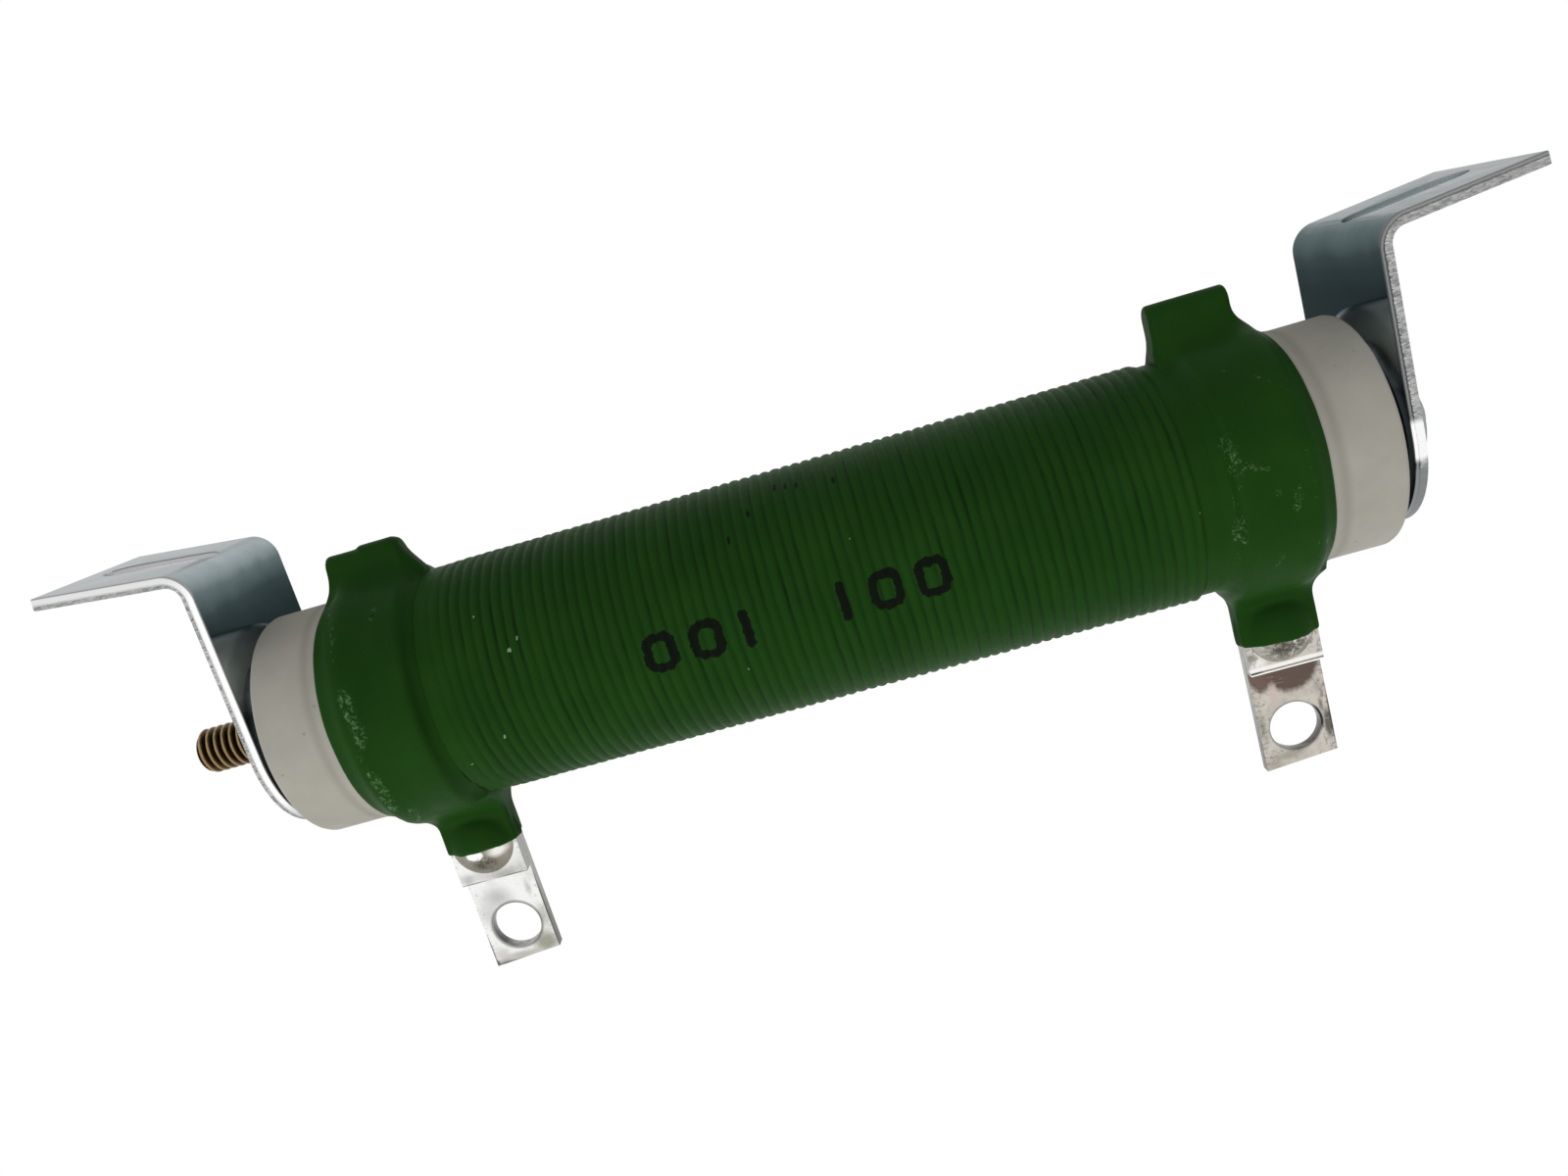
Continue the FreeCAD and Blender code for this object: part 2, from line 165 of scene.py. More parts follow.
def apply_modifiers(piece):
    """Makes what the piece's modifiers do a part of its mesh."""
    bpy.context.view_layer.update()
    graph = bpy.context.evaluated_depsgraph_get()
    finished = bpy.data.meshes.new_from_object(piece.evaluated_get(graph))
    piece.modifiers.clear()
    piece.data = finished


def settle(piece, rounding, material, slot, *nodes):
    """Rounds the piece's sharp edges, evens its shading, and gives it to the frame in place of nodes."""
    if rounding:
        bevel = piece.modifiers.new("rounded_edges", "BEVEL")
        bevel.width = rounding * MM
        bevel.segments = 2
        bevel.limit_method = "WEIGHT" if "bevel_weight_edge" in piece.data.attributes else "ANGLE"
        bevel.angle_limit = sharp_angle
        bevel.use_clamp_overlap = True
        bevel.miter_outer = "MITER_ARC"
    piece.modifiers.new("even_shading", "WEIGHTED_NORMAL").keep_sharp = True
    piece.data.shade_smooth()
    apply_modifiers(piece)
    if material:
        piece.data.materials.clear()
        piece.data.materials.append(material)
    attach(piece, "root")
    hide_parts(*nodes)
    return piece


# Fired cordierite, unglazed: matt, faintly grainy, with soft stains of handling, and painted shade along the
# shoulder's step.
ceramic, tree, place = start_material("fired_cordierite")
stain = add_node(tree, "TexNoise", {"Vector": place, "Scale": 0.22, "Detail": 4.0, "Roughness": 0.6})
grain = add_node(tree, "TexNoise", {"Vector": place, "Scale": 5.0, "Detail": 3.0})
tone = add_node(tree, "ValToRGB", {"Fac": stain})
set_stops(tone, 1, [(0.3, "#aeaba0"), (0.7, "#b9b6ab")])
pits = add_node(tree, "TexVoronoi", {"Vector": place, "Scale": 0.42, "Randomness": 1.0})
pit = add_node(tree, "MapRange", {"Value": pits, "From Min": 0.03, "From Max": 0.07})
pitted = add_node(tree, "Mix RGBA", {"Factor": pit, "A": "#9c988b", "B": tone})
axis = add_node(tree, "SeparateXYZ", {0: place}).node.outputs
outward = add_node(tree, "Math ABSOLUTE", {0: axis["X"]})
# Painted shade: a soft dark line where the shoulder steps down to the tube.
from_step = add_node(tree, "Math SUBTRACT", {0: outward, 1: coat_edge + shoulder_width})
from_step = add_node(tree, "Math ABSOLUTE", {0: from_step})
step_shade = add_node(tree, "MapRange", {
    "Value": from_step, "From Max": 0.75, "To Min": 0.4, "To Max": 0.0,
}, interpolation_type="SMOOTHSTEP")
step_shaded = add_node(tree, "Mix RGBA", {"Factor": step_shade, "A": pitted, "B": "#8a867b"})
bump = add_node(tree, "Bump", {"Height": grain, "Strength": 0.25, "Distance": 0.03 * MM})
shader = add_node(tree, "BsdfPrincipled", {
    "Base Color": step_shaded, "Roughness": 0.72, "Specular IOR Level": 0.3, "Normal": bump,
})
add_node(tree, "OutputMaterial", {"Surface": shader})

half_profile = [
    (shoulder_inner, tube_radius),
    (shoulder_inner, shoulder_radius),
    (shoulder_fall_start, shoulder_radius),
    (shoulder_fall_end, tube_radius),
    (tube_half - tube_chamfer, tube_radius),
    (tube_half - tube_chamfer * 0.3, tube_radius - tube_chamfer * 0.3),
    (tube_half, tube_radius - tube_chamfer),
    (tube_half, tube_bore_radius),
]
tube_profile = half_profile + [(-x, radius) for x, radius in reversed(half_profile)]
tube = turned("ceramic_tube_fired", tube_profile[::-1], segments=160)
settle(tube, 0.04, ceramic, "ceramic", "ceramic_tube")


# Resistance winding. Turns of nickel-chromium wire, hidden under the coat, which shows them only
# as its ridges. The solid keeps a plain dark wire finish.
# Drawn nickel-chromium wire: a dull dark metal, streaked round the tube.
wire, tree, place = start_material("drawn_nickel_chromium_wire")
streak = add_node(tree, "TexWave", {
    "Vector": place, "Scale": 0.36, "Distortion": 0.5,
}, read="Fac", bands_direction="X")
tone = add_node(tree, "Mix RGBA", {"Factor": streak, "A": "#4c4943", "B": "#8d8981"})
shader = add_node(tree, "BsdfPrincipled", {"Base Color": tone, "Metallic": 1.0, "Roughness": 0.45})
add_node(tree, "OutputMaterial", {"Surface": shader})
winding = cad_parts["resistance_winding"]
winding.data.materials.clear()
winding.data.materials.append(wire)


# Terminal straps. Tinned steel strip, bent once round the tube and folded to an ear on one side;
# on the other its two ends lie together as the lug tab. Only the tab's outer part is bare.
lug_hole_z = {RIGHT: 40.40, LEFT: 40.90}
lug_hole_radius = 2.15
tab_centre_x = {RIGHT: 34.25, LEFT: -36.0}
lap_outer = 1.04


def copy_of_node(node, name):
    """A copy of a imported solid, its loose triangles merged and its flat faces made whole."""
    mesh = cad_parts[node].data.copy()
    mesh.name = name
    shape = bmesh.new()
    shape.from_mesh(mesh)
    bmesh.ops.remove_doubles(shape, verts=shape.verts, dist=merge_distance)
    bmesh.ops.dissolve_limit(shape, angle_limit=math.radians(0.5), verts=shape.verts, edges=shape.edges)
    shape.to_mesh(mesh)
    shape.free()
    return new_object(name, mesh)


def away_from(tree, place, centre, radii):
    """How far a place is from a centre, as a share of the radii in mm. None leaves an axis out."""
    shares = tuple(1 / radius if radius else 0 for radius in radii)
    offset = add_node(tree, "VectorMath SUBTRACT", {0: place, 1: centre})
    offset = add_node(tree, "VectorMath MULTIPLY", {0: offset, 1: shares})
    return add_node(tree, "VectorMath LENGTH", {0: offset})


def spotted(tree, colour, place, spots):
    """Lays soft-edged spots over a colour: each a centre and radii in mm, a tone, a strength and an edge."""
    for centre, radii, tone, strength, edge in spots:
        away = away_from(tree, place, centre, radii)
        amount = add_node(tree, "MapRange", {
            "Value": away, "From Min": 1 - edge, "To Min": strength, "To Max": 0.0,
        }, interpolation_type="SMOOTHSTEP")
        colour = add_node(tree, "Mix RGBA", {"Factor": amount, "A": colour, "B": tone})
    return colour


def ragged_place(tree, place, grain, reach):
    """A place moved about by a grain's colours, so that what is laid there has ragged edges."""
    drift = add_node(tree, "VectorMath SUBTRACT", {0: grain.node.outputs["Color"], 1: (0.5, 0.5, 0.5)})
    drift = add_node(tree, "VectorMath SCALE", {0: drift, "Scale": reach})
    return add_node(tree, "VectorMath ADD", {0: place, 1: drift})


# The lap's face stands at y -1.04 and the tab's at 0.04. Soft marks on them, some of them painted shade and a
# painted reflection, and crisp lines along their edges, which are painted shade and painted highlights:
# (place from the tab's middle, radii, tone, strength, edge).
tab_marks_shade_and_reflections = {
    RIGHT: [
        ((0.9, 0, 37.4), (2.0, None, 1.7), "#b4b5b4", 0.75, 0.95),
        ((2.0, 0, 38.9), (1.1, None, 1.7), "#c2c3c1", 0.6, 0.9),
        ((-2.0, 0, 42.7), (1.9, None, 1.7), "#949282", 0.9, 0.8),
        ((0.4, 0, 43.4), (2.4, None, 0.6), "#a8a698", 0.7, 0.7),
        ((-2.6, 0, 40.2), (0.8, None, 1.8), "#b4b2a8", 0.7, 0.8),
        ((2.2, 0, 43.0), (1.2, None, 1.2), "#b5b4ad", 0.6, 0.8),
        ((-2.1, 0, 37.2), (0.45, None, 1.2), "#bdbcb6", 0.75, 0.9),
        # Painted shade on the lap, above its lower edge.
        ((-1.0, -1.04, 34.9), (2.4, 0.5, 0.7), "#8f8f8b", 0.8, 0.9),
        ((2.3, -1.04, 34.7), (0.8, 0.5, 0.8), "#a5a5a1", 0.7, 0.9),
        ((0, -1.04, 34.6), (None, 0.5, 0.9), "#c3c3bf", 0.5, 0.9),
    ],
    LEFT: [
        # A painted reflection of the flange: brown patches on the tab just below it.
        ((-0.45, 0.04, 35.2), (2.75, 0.9, 2.9), "#5a4a43", 0.95, 0.25),
        ((2.1, 0.04, 35.2), (1.25, 0.9, 2.4), "#6b5750", 0.95, 0.3),
        ((1.25, 0.04, 37.6), (0.5, 0.9, 1.5), "#c9b8b0", 0.9, 0.8),
        ((2.3, -1.04, 34.0), (1.1, 0.5, 1.5), "#f4f2ee", 0.8, 0.8),
        ((-2.5, 0, 37.9), (0.7, None, 1.3), "#a09b95", 0.7, 0.9),
        ((2.7, 0, 40.3), (0.6, None, 2.2), "#7d7a6e", 0.6, 0.9),
        ((-2.7, 0, 41.4), (0.5, None, 2.0), "#45413b", 0.85, 0.7),
        ((0.9, 0, 43.3), (1.8, None, 0.6), "#8f8c7c", 0.6, 0.8),
        ((-2.4, 0, 39.6), (0.3, None, 0.9), "#5d5952", 0.7, 0.8),
        # The rivet's painted shadow on the lap.
        ((2.7, -1.04, 33.6), (0.7, 0.5, 0.6), "#6c6860", 0.75, 0.7),
    ],
}
edge_shade_and_highlight_lines = {
    RIGHT: [
        # Painted shade: dark lines along the lap's lower edge and along the tab's sides and bottom.
        ((-1.9, -1.04, 35.18), (2.2, 0.6, 0.13), "#4a4945", 0.95, 0.8),
        ((2.0, -1.04, 35.18), (1.9, 0.6, 0.12), "#5a5954", 0.9, 0.8),
        ((-3.05, 0.04, 40.0), (0.14, 0.16, 5.5), "#4c4b47", 0.95, 0.5),
        ((2.3, 0.04, 43.7), (1.3, 0.4, 0.5), "#8b8a84", 0.75, 0.95),
        ((3.05, 0.04, 42.5), (0.18, 0.3, 2.4), "#4f4e49", 0.9, 0.7),
        ((3.0, 0.04, 43.6), (0.4, 0.4, 0.5), "#55534e", 0.9, 0.8),
        ((1.2, 0.04, 43.8), (2.6, 0.4, 0.22), "#4a4843", 0.9, 0.7),
    ],
    LEFT: [
        # Painted highlights as white lines along the lap's lower edge, with painted shade as thin dark lines
        # between them, and painted shade along the tab's side.
        ((0, -1.04, 34.72), (None, 0.5, 0.32), "#fbfaf6", 0.9, 0.9),
        ((0, -1.04, 34.98), (None, 0.5, 0.07), "#6b625b", 0.85, 0.5),
        ((2.6, -1.04, 34.98), (0.9, 0.5, 0.12), "#37322e", 0.9, 0.6),
        ((0, -1.04, 35.16), (None, 0.5, 0.1), "#ffffff", 1.0, 0.3),
        ((-3.0, 0.04, 40.8), (0.14, 0.4, 3.4), "#2f2c28", 0.9, 0.7),
    ],
}
# The side of the hole that is darkest.
hole_darkest_side = (-0.984, 0.0, -0.16)


def tinned_strip(side):
    """Hot-tinned steel strip: bright, with scratches, grey smudges and dull sheared sides, and with painted
    shade, painted highlights and a painted reflection by the lap's edge.
    """
    material, tree, place = start_material("tinned_steel_strip_" + SIDE_NAMES[side])
    # The right-hand strip is painted near white and the left-hand one greyer: lit and shaded copies of one
    # tin, the near white a painted reflection.
    bright = {RIGHT: "#f4f4f2", LEFT: "#cac4ba"}[side]
    dull = {RIGHT: "#dbdbd7", LEFT: "#a8a299"}[side]
    cloud = add_node(tree, "TexNoise", {"Vector": place, "Scale": 0.35, "Detail": 5.0, "Roughness": 0.65})
    speckle = add_node(tree, "TexNoise", {"Vector": place, "Scale": 2.6, "Detail": 6.0, "Roughness": 0.7})
    soft = add_node(tree, "MapRange", {"Value": cloud, "From Min": 0.47, "From Max": 0.72})
    tone = add_node(tree, "Mix RGBA", {"Factor": soft, "A": bright, "B": dull})
    # Marks on the tab and lap, with painted shade and a painted reflection among them.
    warped = ragged_place(tree, place, speckle, 0.7)
    spots = [((tab_centre_x[side] + x, y, z), *rest) for (x, y, z), *rest in tab_marks_shade_and_reflections[side]]
    tone = spotted(tree, tone, warped, spots)

    # Pale streaks cross the marks where the strip was handled, and speckles gather along its edges.
    streak_place = add_node(tree, "Mapping", {
        "Vector": place, "Rotation": (0, 0.75, 0), "Scale": (0.5, 1.0, 4.5),
    })
    streak = add_node(tree, "TexNoise", {
        "Vector": streak_place, "Scale": 1.1, "Detail": 4.0, "Roughness": 0.7,
    })
    streaked = add_node(tree, "MapRange", {
        "Value": streak, "From Min": 0.6, "From Max": 0.68, "To Max": {RIGHT: 0.15, LEFT: 0.55}[side],
    })
    tone = add_node(tree, "Mix RGBA", {"Factor": streaked, "A": tone, "B": "#d3cdc6"})
    middle = (tab_centre_x[side], 0, lug_hole_z[side])
    flat = add_node(tree, "VectorMath SUBTRACT", {0: place, 1: middle})
    flat = add_node(tree, "VectorMath MULTIPLY", {0: flat, 1: (1, 0, 1)})
    axis = add_node(tree, "SeparateXYZ", {0: flat}).node.outputs
    sideways = add_node(tree, "Math ABSOLUTE", {0: axis["X"]})
    near_edge = add_node(tree, "MapRange", {
        "Value": sideways, "From Min": 1.2, "From Max": 3.0, "To Min": {RIGHT: -0.1, LEFT: -0.06}[side],
        "To Max": 0.05,
    })
    speck = add_node(tree, "Math ADD", {0: speckle, 1: near_edge})
    speck = add_node(tree, "MapRange", {
        "Value": speck, "From Min": {RIGHT: 0.6, LEFT: 0.53}[side],
        "From Max": {RIGHT: 0.68, LEFT: 0.65}[side], "To Max": {RIGHT: 0.5, LEFT: 0.6}[side],
    })
    tone = add_node(tree, "Mix RGBA", {"Factor": speck, "A": tone, "B": "#575148"})

    # Dark rim and wall of the punched hole, black on one side.
    from_middle = add_node(tree, "VectorMath LENGTH", {0: flat})
    rim = add_node(tree, "MapRange", {
        "Value": from_middle, "From Min": lug_hole_radius + 0.06,
        "From Max": lug_hole_radius + {RIGHT: 0.34, LEFT: 0.22}[side],
        "To Min": {RIGHT: 0.9, LEFT: 0.5}[side], "To Max": 0.0,
    })
    tone = add_node(tree, "Mix RGBA", {"Factor": rim, "A": tone, "B": "#5f5e5a"})
    wall = add_node(tree, "Math LESS_THAN", {0: from_middle, 1: lug_hole_radius + 0.04})
    tone = add_node(tree, "Mix RGBA", {
        "Factor": wall, "A": tone, "B": {RIGHT: "#b5b4b0", LEFT: "#8c8983"}[side],
    })
    towards = add_node(tree, "VectorMath NORMALIZE", {0: flat})
    towards = add_node(tree, "VectorMath DOT_PRODUCT", {0: towards, 1: hole_darkest_side})
    darkest_side = add_node(tree, "MapRange", {
        "Value": towards, "From Min": 0.8, "From Max": 0.95, "To Max": {RIGHT: 0.0, LEFT: 0.95}[side],
    })
    close = add_node(tree, "MapRange", {
        "Value": from_middle, "From Min": lug_hole_radius + 0.14, "From Max": lug_hole_radius + 0.26,
        "To Min": 1.0, "To Max": 0.0,
    })
    darkest_side = add_node(tree, "Math MULTIPLY", {0: darkest_side, 1: close})
    tone = add_node(tree, "Mix RGBA", {"Factor": darkest_side, "A": tone, "B": "#141210"})

    # The sheared sides and ends of the strip are duller than its rolled faces, unevenly.
    facing = add_node(tree, "TexCoord", read="Normal")
    facing = add_node(tree, "VectorMath ABSOLUTE", {0: facing})
    facing = add_node(tree, "SeparateXYZ", {0: facing}).node.outputs
    sheared_side = add_node(tree, "MapRange", {
        "Value": facing["X"], "From Min": 0.35, "From Max": 0.75, "To Max": 0.9,
    })
    low_down = add_node(tree, "MapRange", {"Value": axis["Z"], "From Min": -4.0, "From Max": 1.0})
    side_tone = add_node(tree, "Mix RGBA", {
        "Factor": low_down, "A": {RIGHT: "#85857f", LEFT: "#989894"}[side],
        "B": {RIGHT: "#3f3e3b", LEFT: "#5b5a56"}[side],
    })
    tone = add_node(tree, "Mix RGBA", {"Factor": sheared_side, "A": tone, "B": side_tone})
    uneven = add_node(tree, "MapRange", {
        "Value": cloud, "From Min": 0.42, "From Max": 0.6, "To Min": 0.25, "To Max": 0.95,
    })
    sheared_end = add_node(tree, "MapRange", {"Value": facing["Z"], "From Min": 0.45, "From Max": 0.8})
    sheared_end = add_node(tree, "Math MULTIPLY", {0: sheared_end, 1: uneven})
    tone = add_node(tree, "Mix RGBA", {"Factor": sheared_end, "A": tone, "B": "#4f4d48"})

    # Painted shade as crisp dark lines along the edges, and painted highlights as white lines along the
    # left-hand lap's lower edge.
    warped = ragged_place(tree, place, speckle, 0.098)
    spots = [((tab_centre_x[side] + x, y, z), *rest) for (x, y, z), *rest in edge_shade_and_highlight_lines[side]]
    tone = spotted(tree, tone, warped, spots)

    scratch_place = add_node(tree, "Mapping", {
        "Vector": place, "Rotation": (0, 0.5, 0), "Scale": (0.4, 1.0, 7.0),
    })
    scratch = add_node(tree, "TexNoise", {"Vector": scratch_place, "Scale": 1.0, "Detail": 3.0})
    bump = add_node(tree, "Bump", {"Height": scratch, "Strength": 0.25, "Distance": 0.01 * MM})
    rough = add_node(tree, "MapRange", {
        "Value": speckle, "From Min": 0.3, "From Max": 0.7, "To Min": 0.2, "To Max": 0.36,
    })
    shader = add_node(tree, "BsdfPrincipled", {
        "Base Color": tone, "Metallic": 1.0, "Roughness": rough, "Normal": bump,
    })
    add_node(tree, "OutputMaterial", {"Surface": shader})
    return material


for side, name in SIDE_NAMES.items():
    band = copy_of_node("terminal_band_" + name, "terminal_strap_" + name)
    settle(band, 0.08, tinned_strip(side), "tinned_strip", "terminal_band_" + name)


# Terminal rivets. Steel rivets with a domed head in front, a shank through both layers and an
# upset tail behind, tinned with the strip, their inner half under the coat.
rivet_reach = 14.45
shank_radius = 1.4
head_radius = 2.75
head_height = 1.25
tail_radius = 2.3
tail_height = 0.8
dome_steps = 14

# Marks on the domes: (x from the rivet's middle, z, radius in x, radius in z, tone, strength, edge), and
# where flux has crackled: (x, z, radius in x, radius in z). On the right-hand dome the dark marks are painted
# shade low on it and the bright ones painted highlights; on the left-hand dome they are blotches and light
# bits of flux.
dome_marks_shade_and_highlights = {
    RIGHT: [
        # Painted shade low on the dome and at its side, then painted highlights near its top.
        (0.2, 33.5, 2.7, 1.1, "#6b675d", 0.85, 0.95), (2.2, 32.9, 1.1, 1.2, "#7d7969", 0.85, 0.9),
        (-1.5, 32.3, 1.2, 0.8, "#f0eee9", 1.0, 0.8), (-2.3, 33.0, 0.5, 0.7, "#8d8a80", 0.7, 0.8),
        (0.55, 32.25, 0.85, 0.5, "#ffffff", 1.0, 0.2),
    ],
    LEFT: [
        (0.4, 32.9, 1.4, 0.9, "#6a655d", 0.6, 0.8), (-0.6, 32.5, 0.5, 0.4, "#e2e0da", 0.8, 0.6),
        (-2.0, 32.9, 0.6, 0.6, "#d9d7d0", 0.7, 0.7), (2.0, 33.0, 0.7, 0.6, "#c2bfb8", 0.7, 0.6),
    ],
}
crackled = {RIGHT: (0.0, 33.2, 1.3, 0.9), LEFT: (-0.2, 32.9, 3.0, 1.8)}


def tinned_rivet(side):
    """Tinned steel dome: soft-bright, mottled with grey-brown flux over its top, with painted shade and
    painted highlights on the right-hand one.
    """
    material, tree, place = start_material("tinned_steel_rivet_" + SIDE_NAMES[side])
    bright = {RIGHT: "#979286", LEFT: "#b9b6ab"}[side]
    speckle = add_node(tree, "TexNoise", {
        "Vector": place, "Scale": {RIGHT: 1.3, LEFT: 0.8}[side], "Detail": 6.0, "Roughness": 0.7,
        "Distortion": 0.6,
    })
    warped = ragged_place(tree, place, speckle, 0.4)
    # Painted shade and highlights on the right-hand dome, and flux on the left-hand one.
    spots = [
        ((tab_centre_x[side] + x, 0, z), (reach_x, None, reach_z), code, strength, edge)
        for x, z, reach_x, reach_z, code, strength, edge in dome_marks_shade_and_highlights[side]
    ]
    tone = spotted(tree, bright, warped, spots)
    flux_x, flux_z, flux_reach_x, flux_reach_z = crackled[side]
    flux_middle = (tab_centre_x[side] + flux_x, 0, flux_z)
    away = away_from(tree, place, flux_middle, (flux_reach_x, None, flux_reach_z))
    fluxed = add_node(tree, "MapRange", {
        "Value": away, "From Min": 0.4, "From Max": 1.0, "To Min": 0.85, "To Max": 0.0,
    })
    off_middle = add_node(tree, "Math SUBTRACT", {0: speckle, 1: 0.5})
    off_middle = add_node(tree, "Math ABSOLUTE", {0: off_middle})
    crackle = add_node(tree, "MapRange", {
        "Value": off_middle, "From Min": 0.015, "From Max": {RIGHT: 0.06, LEFT: 0.1}[side], "To Min": 1.0,
        "To Max": 0.0,
    })
    crackle = add_node(tree, "Math MULTIPLY", {0: crackle, 1: fluxed})
    tone = add_node(tree, "Mix RGBA", {"Factor": crackle, "A": tone, "B": "#3d3a32"})
    bump = add_node(tree, "Bump", {"Height": speckle, "Strength": 0.3, "Distance": 0.03 * MM})
    shader = add_node(tree, "BsdfPrincipled", {
        "Base Color": tone, "Metallic": 1.0, "Roughness": 0.34, "Normal": bump,
    })
    add_node(tree, "OutputMaterial", {"Surface": shader})
    return material


def dome_outline(rim_radius, height):
    """A spherical cap's outline from its pole to its rim: (rise over the seat, radius)."""
    sphere = (rim_radius**2 + height**2) / (2 * height)
    reach = math.asin(rim_radius / sphere)
    angles = [reach * step / dome_steps for step in range(dome_steps + 1)]
    return [(height - sphere + sphere * math.cos(angle), sphere * math.sin(angle)) for angle in angles]


head = [(-lap_outer - rise, radius) for rise, radius in dome_outline(head_radius, head_height)]
tail = [(lap_outer + rise, radius) for rise, radius in dome_outline(tail_radius, tail_height)]
rivet_profile = head + [(-lap_outer, shank_radius), (lap_outer, shank_radius)] + tail[::-1]
for side, name in SIDE_NAMES.items():
    rivet = turned("domed_rivet_" + name, rivet_profile[::-1], segments=96)
    rivet.data.transform(Matrix.Rotation(math.pi / 2, 4, "Z"))
    rivet.data.transform(Matrix.Translation(Vector((tab_centre_x[side], 0, rivet_reach)) * MM))
    settle(rivet, 0.03, tinned_rivet(side), "tinned_rivet", "terminal_rivet_" + name)


# Cement coat. Green silicone cement, brushed over tube, wire and straps and baked. It is thin, so
# the wire turns stand out as a fine right-handed helix of ridges, softer at the right-hand end.
ridge_pitch = 0.868
ridge_height = 0.16
groove_radius = 9.755
plain_coat_radius = 9.60
first_ridge_x = 27.666
winding_ends = {RIGHT: 31.0, LEFT: -29.65}
coat_seams = {RIGHT: 31.6, LEFT: -31.6}

ridges = bpy.data.node_groups.new("helical_ridges", "GeometryNodeTree")
ridges.interface.new_socket("Geometry", in_out="OUTPUT", socket_type="NodeSocketGeometry")
ridge_inputs = {
    "Start": "Float", "End": "Float", "Columns": "Int", "Rows": "Int", "Inner Radius": "Float",
    "Plain Radius": "Float", "Lift": "Float", "Lift Start": "Float", "Lift End": "Float",
    "Lift Edge": "Float", "Fade": "Float", "Ridge Height": "Float", "Pitch": "Float",
    "First Ridge": "Float", "Roundness": "Float", "Crest": "Float", "Chamfer": "Float",
    "Unevenness": "Float", "Seed": "Float", "Material": "Material",
}
for input_name, kind in ridge_inputs.items():
    ridges.interface.new_socket(input_name, in_out="INPUT", socket_type="NodeSocket" + kind)
sizes = add_node(ridges, "NodeGroupInput").node.outputs
made = {input_name: sizes[input_name] for input_name in ridge_inputs}
grid_place = add_node(ridges, "GeometryNodeInputPosition")
made["across"], made["around"], _ = add_node(ridges, "SeparateXYZ", {0: grid_place}).node.outputs

# The tree's arithmetic. Each step has a name, an operation, and values that are an input, an earlier
# step or a number. The grid's columns run along the axis and its rows round it. Its first and last
# columns lie on the inner wall, so that the merged grid is a closed shell.
grid_steps = [
    ("row points", "ADD", "Rows", 1),
    ("last column", "SUBTRACT", "Columns", 1),
    ("from left", "ADD", "across", 0.5),
    ("column", "MULTIPLY", "from left", "last column"),
    ("outer column", "SUBTRACT", "column", 1),
    ("outer columns", "SUBTRACT", "last column", 3),
    ("share", "DIVIDE", "outer column", "outer columns"),
    ("before last", "SUBTRACT", "last column", 0.5),
    ("closing", "GREATER_THAN", "column", "before last"),
    ("before end wall", "SUBTRACT", "last column", 1.5),
    ("on end wall", "GREATER_THAN", "column", "before end wall"),
    ("on start wall", "LESS_THAN", "column", 0.5),
    ("on inner wall", "MAXIMUM", "on end wall", "on start wall"),
    ("length", "SUBTRACT", "End", "Start"),
    ("not closing", "SUBTRACT", 1, "closing"),
    ("along", "MULTIPLY", "share", "not closing"),
    ("run", "MULTIPLY", "length", "along"),
    ("x", "ADD", "Start", "run"),
    ("turn", "ADD", "around", 0.5),
    ("angle", "MULTIPLY", "turn", 2 * math.pi),
    ("cosine", "COSINE", "angle"),
    ("sine", "SINE", "angle"),
    ("round y", "MULTIPLY", "cosine", "Plain Radius"),
    ("round z", "MULTIPLY", "sine", "Plain Radius"),
    ("stretched x", "MULTIPLY", "x", 2.2),
]
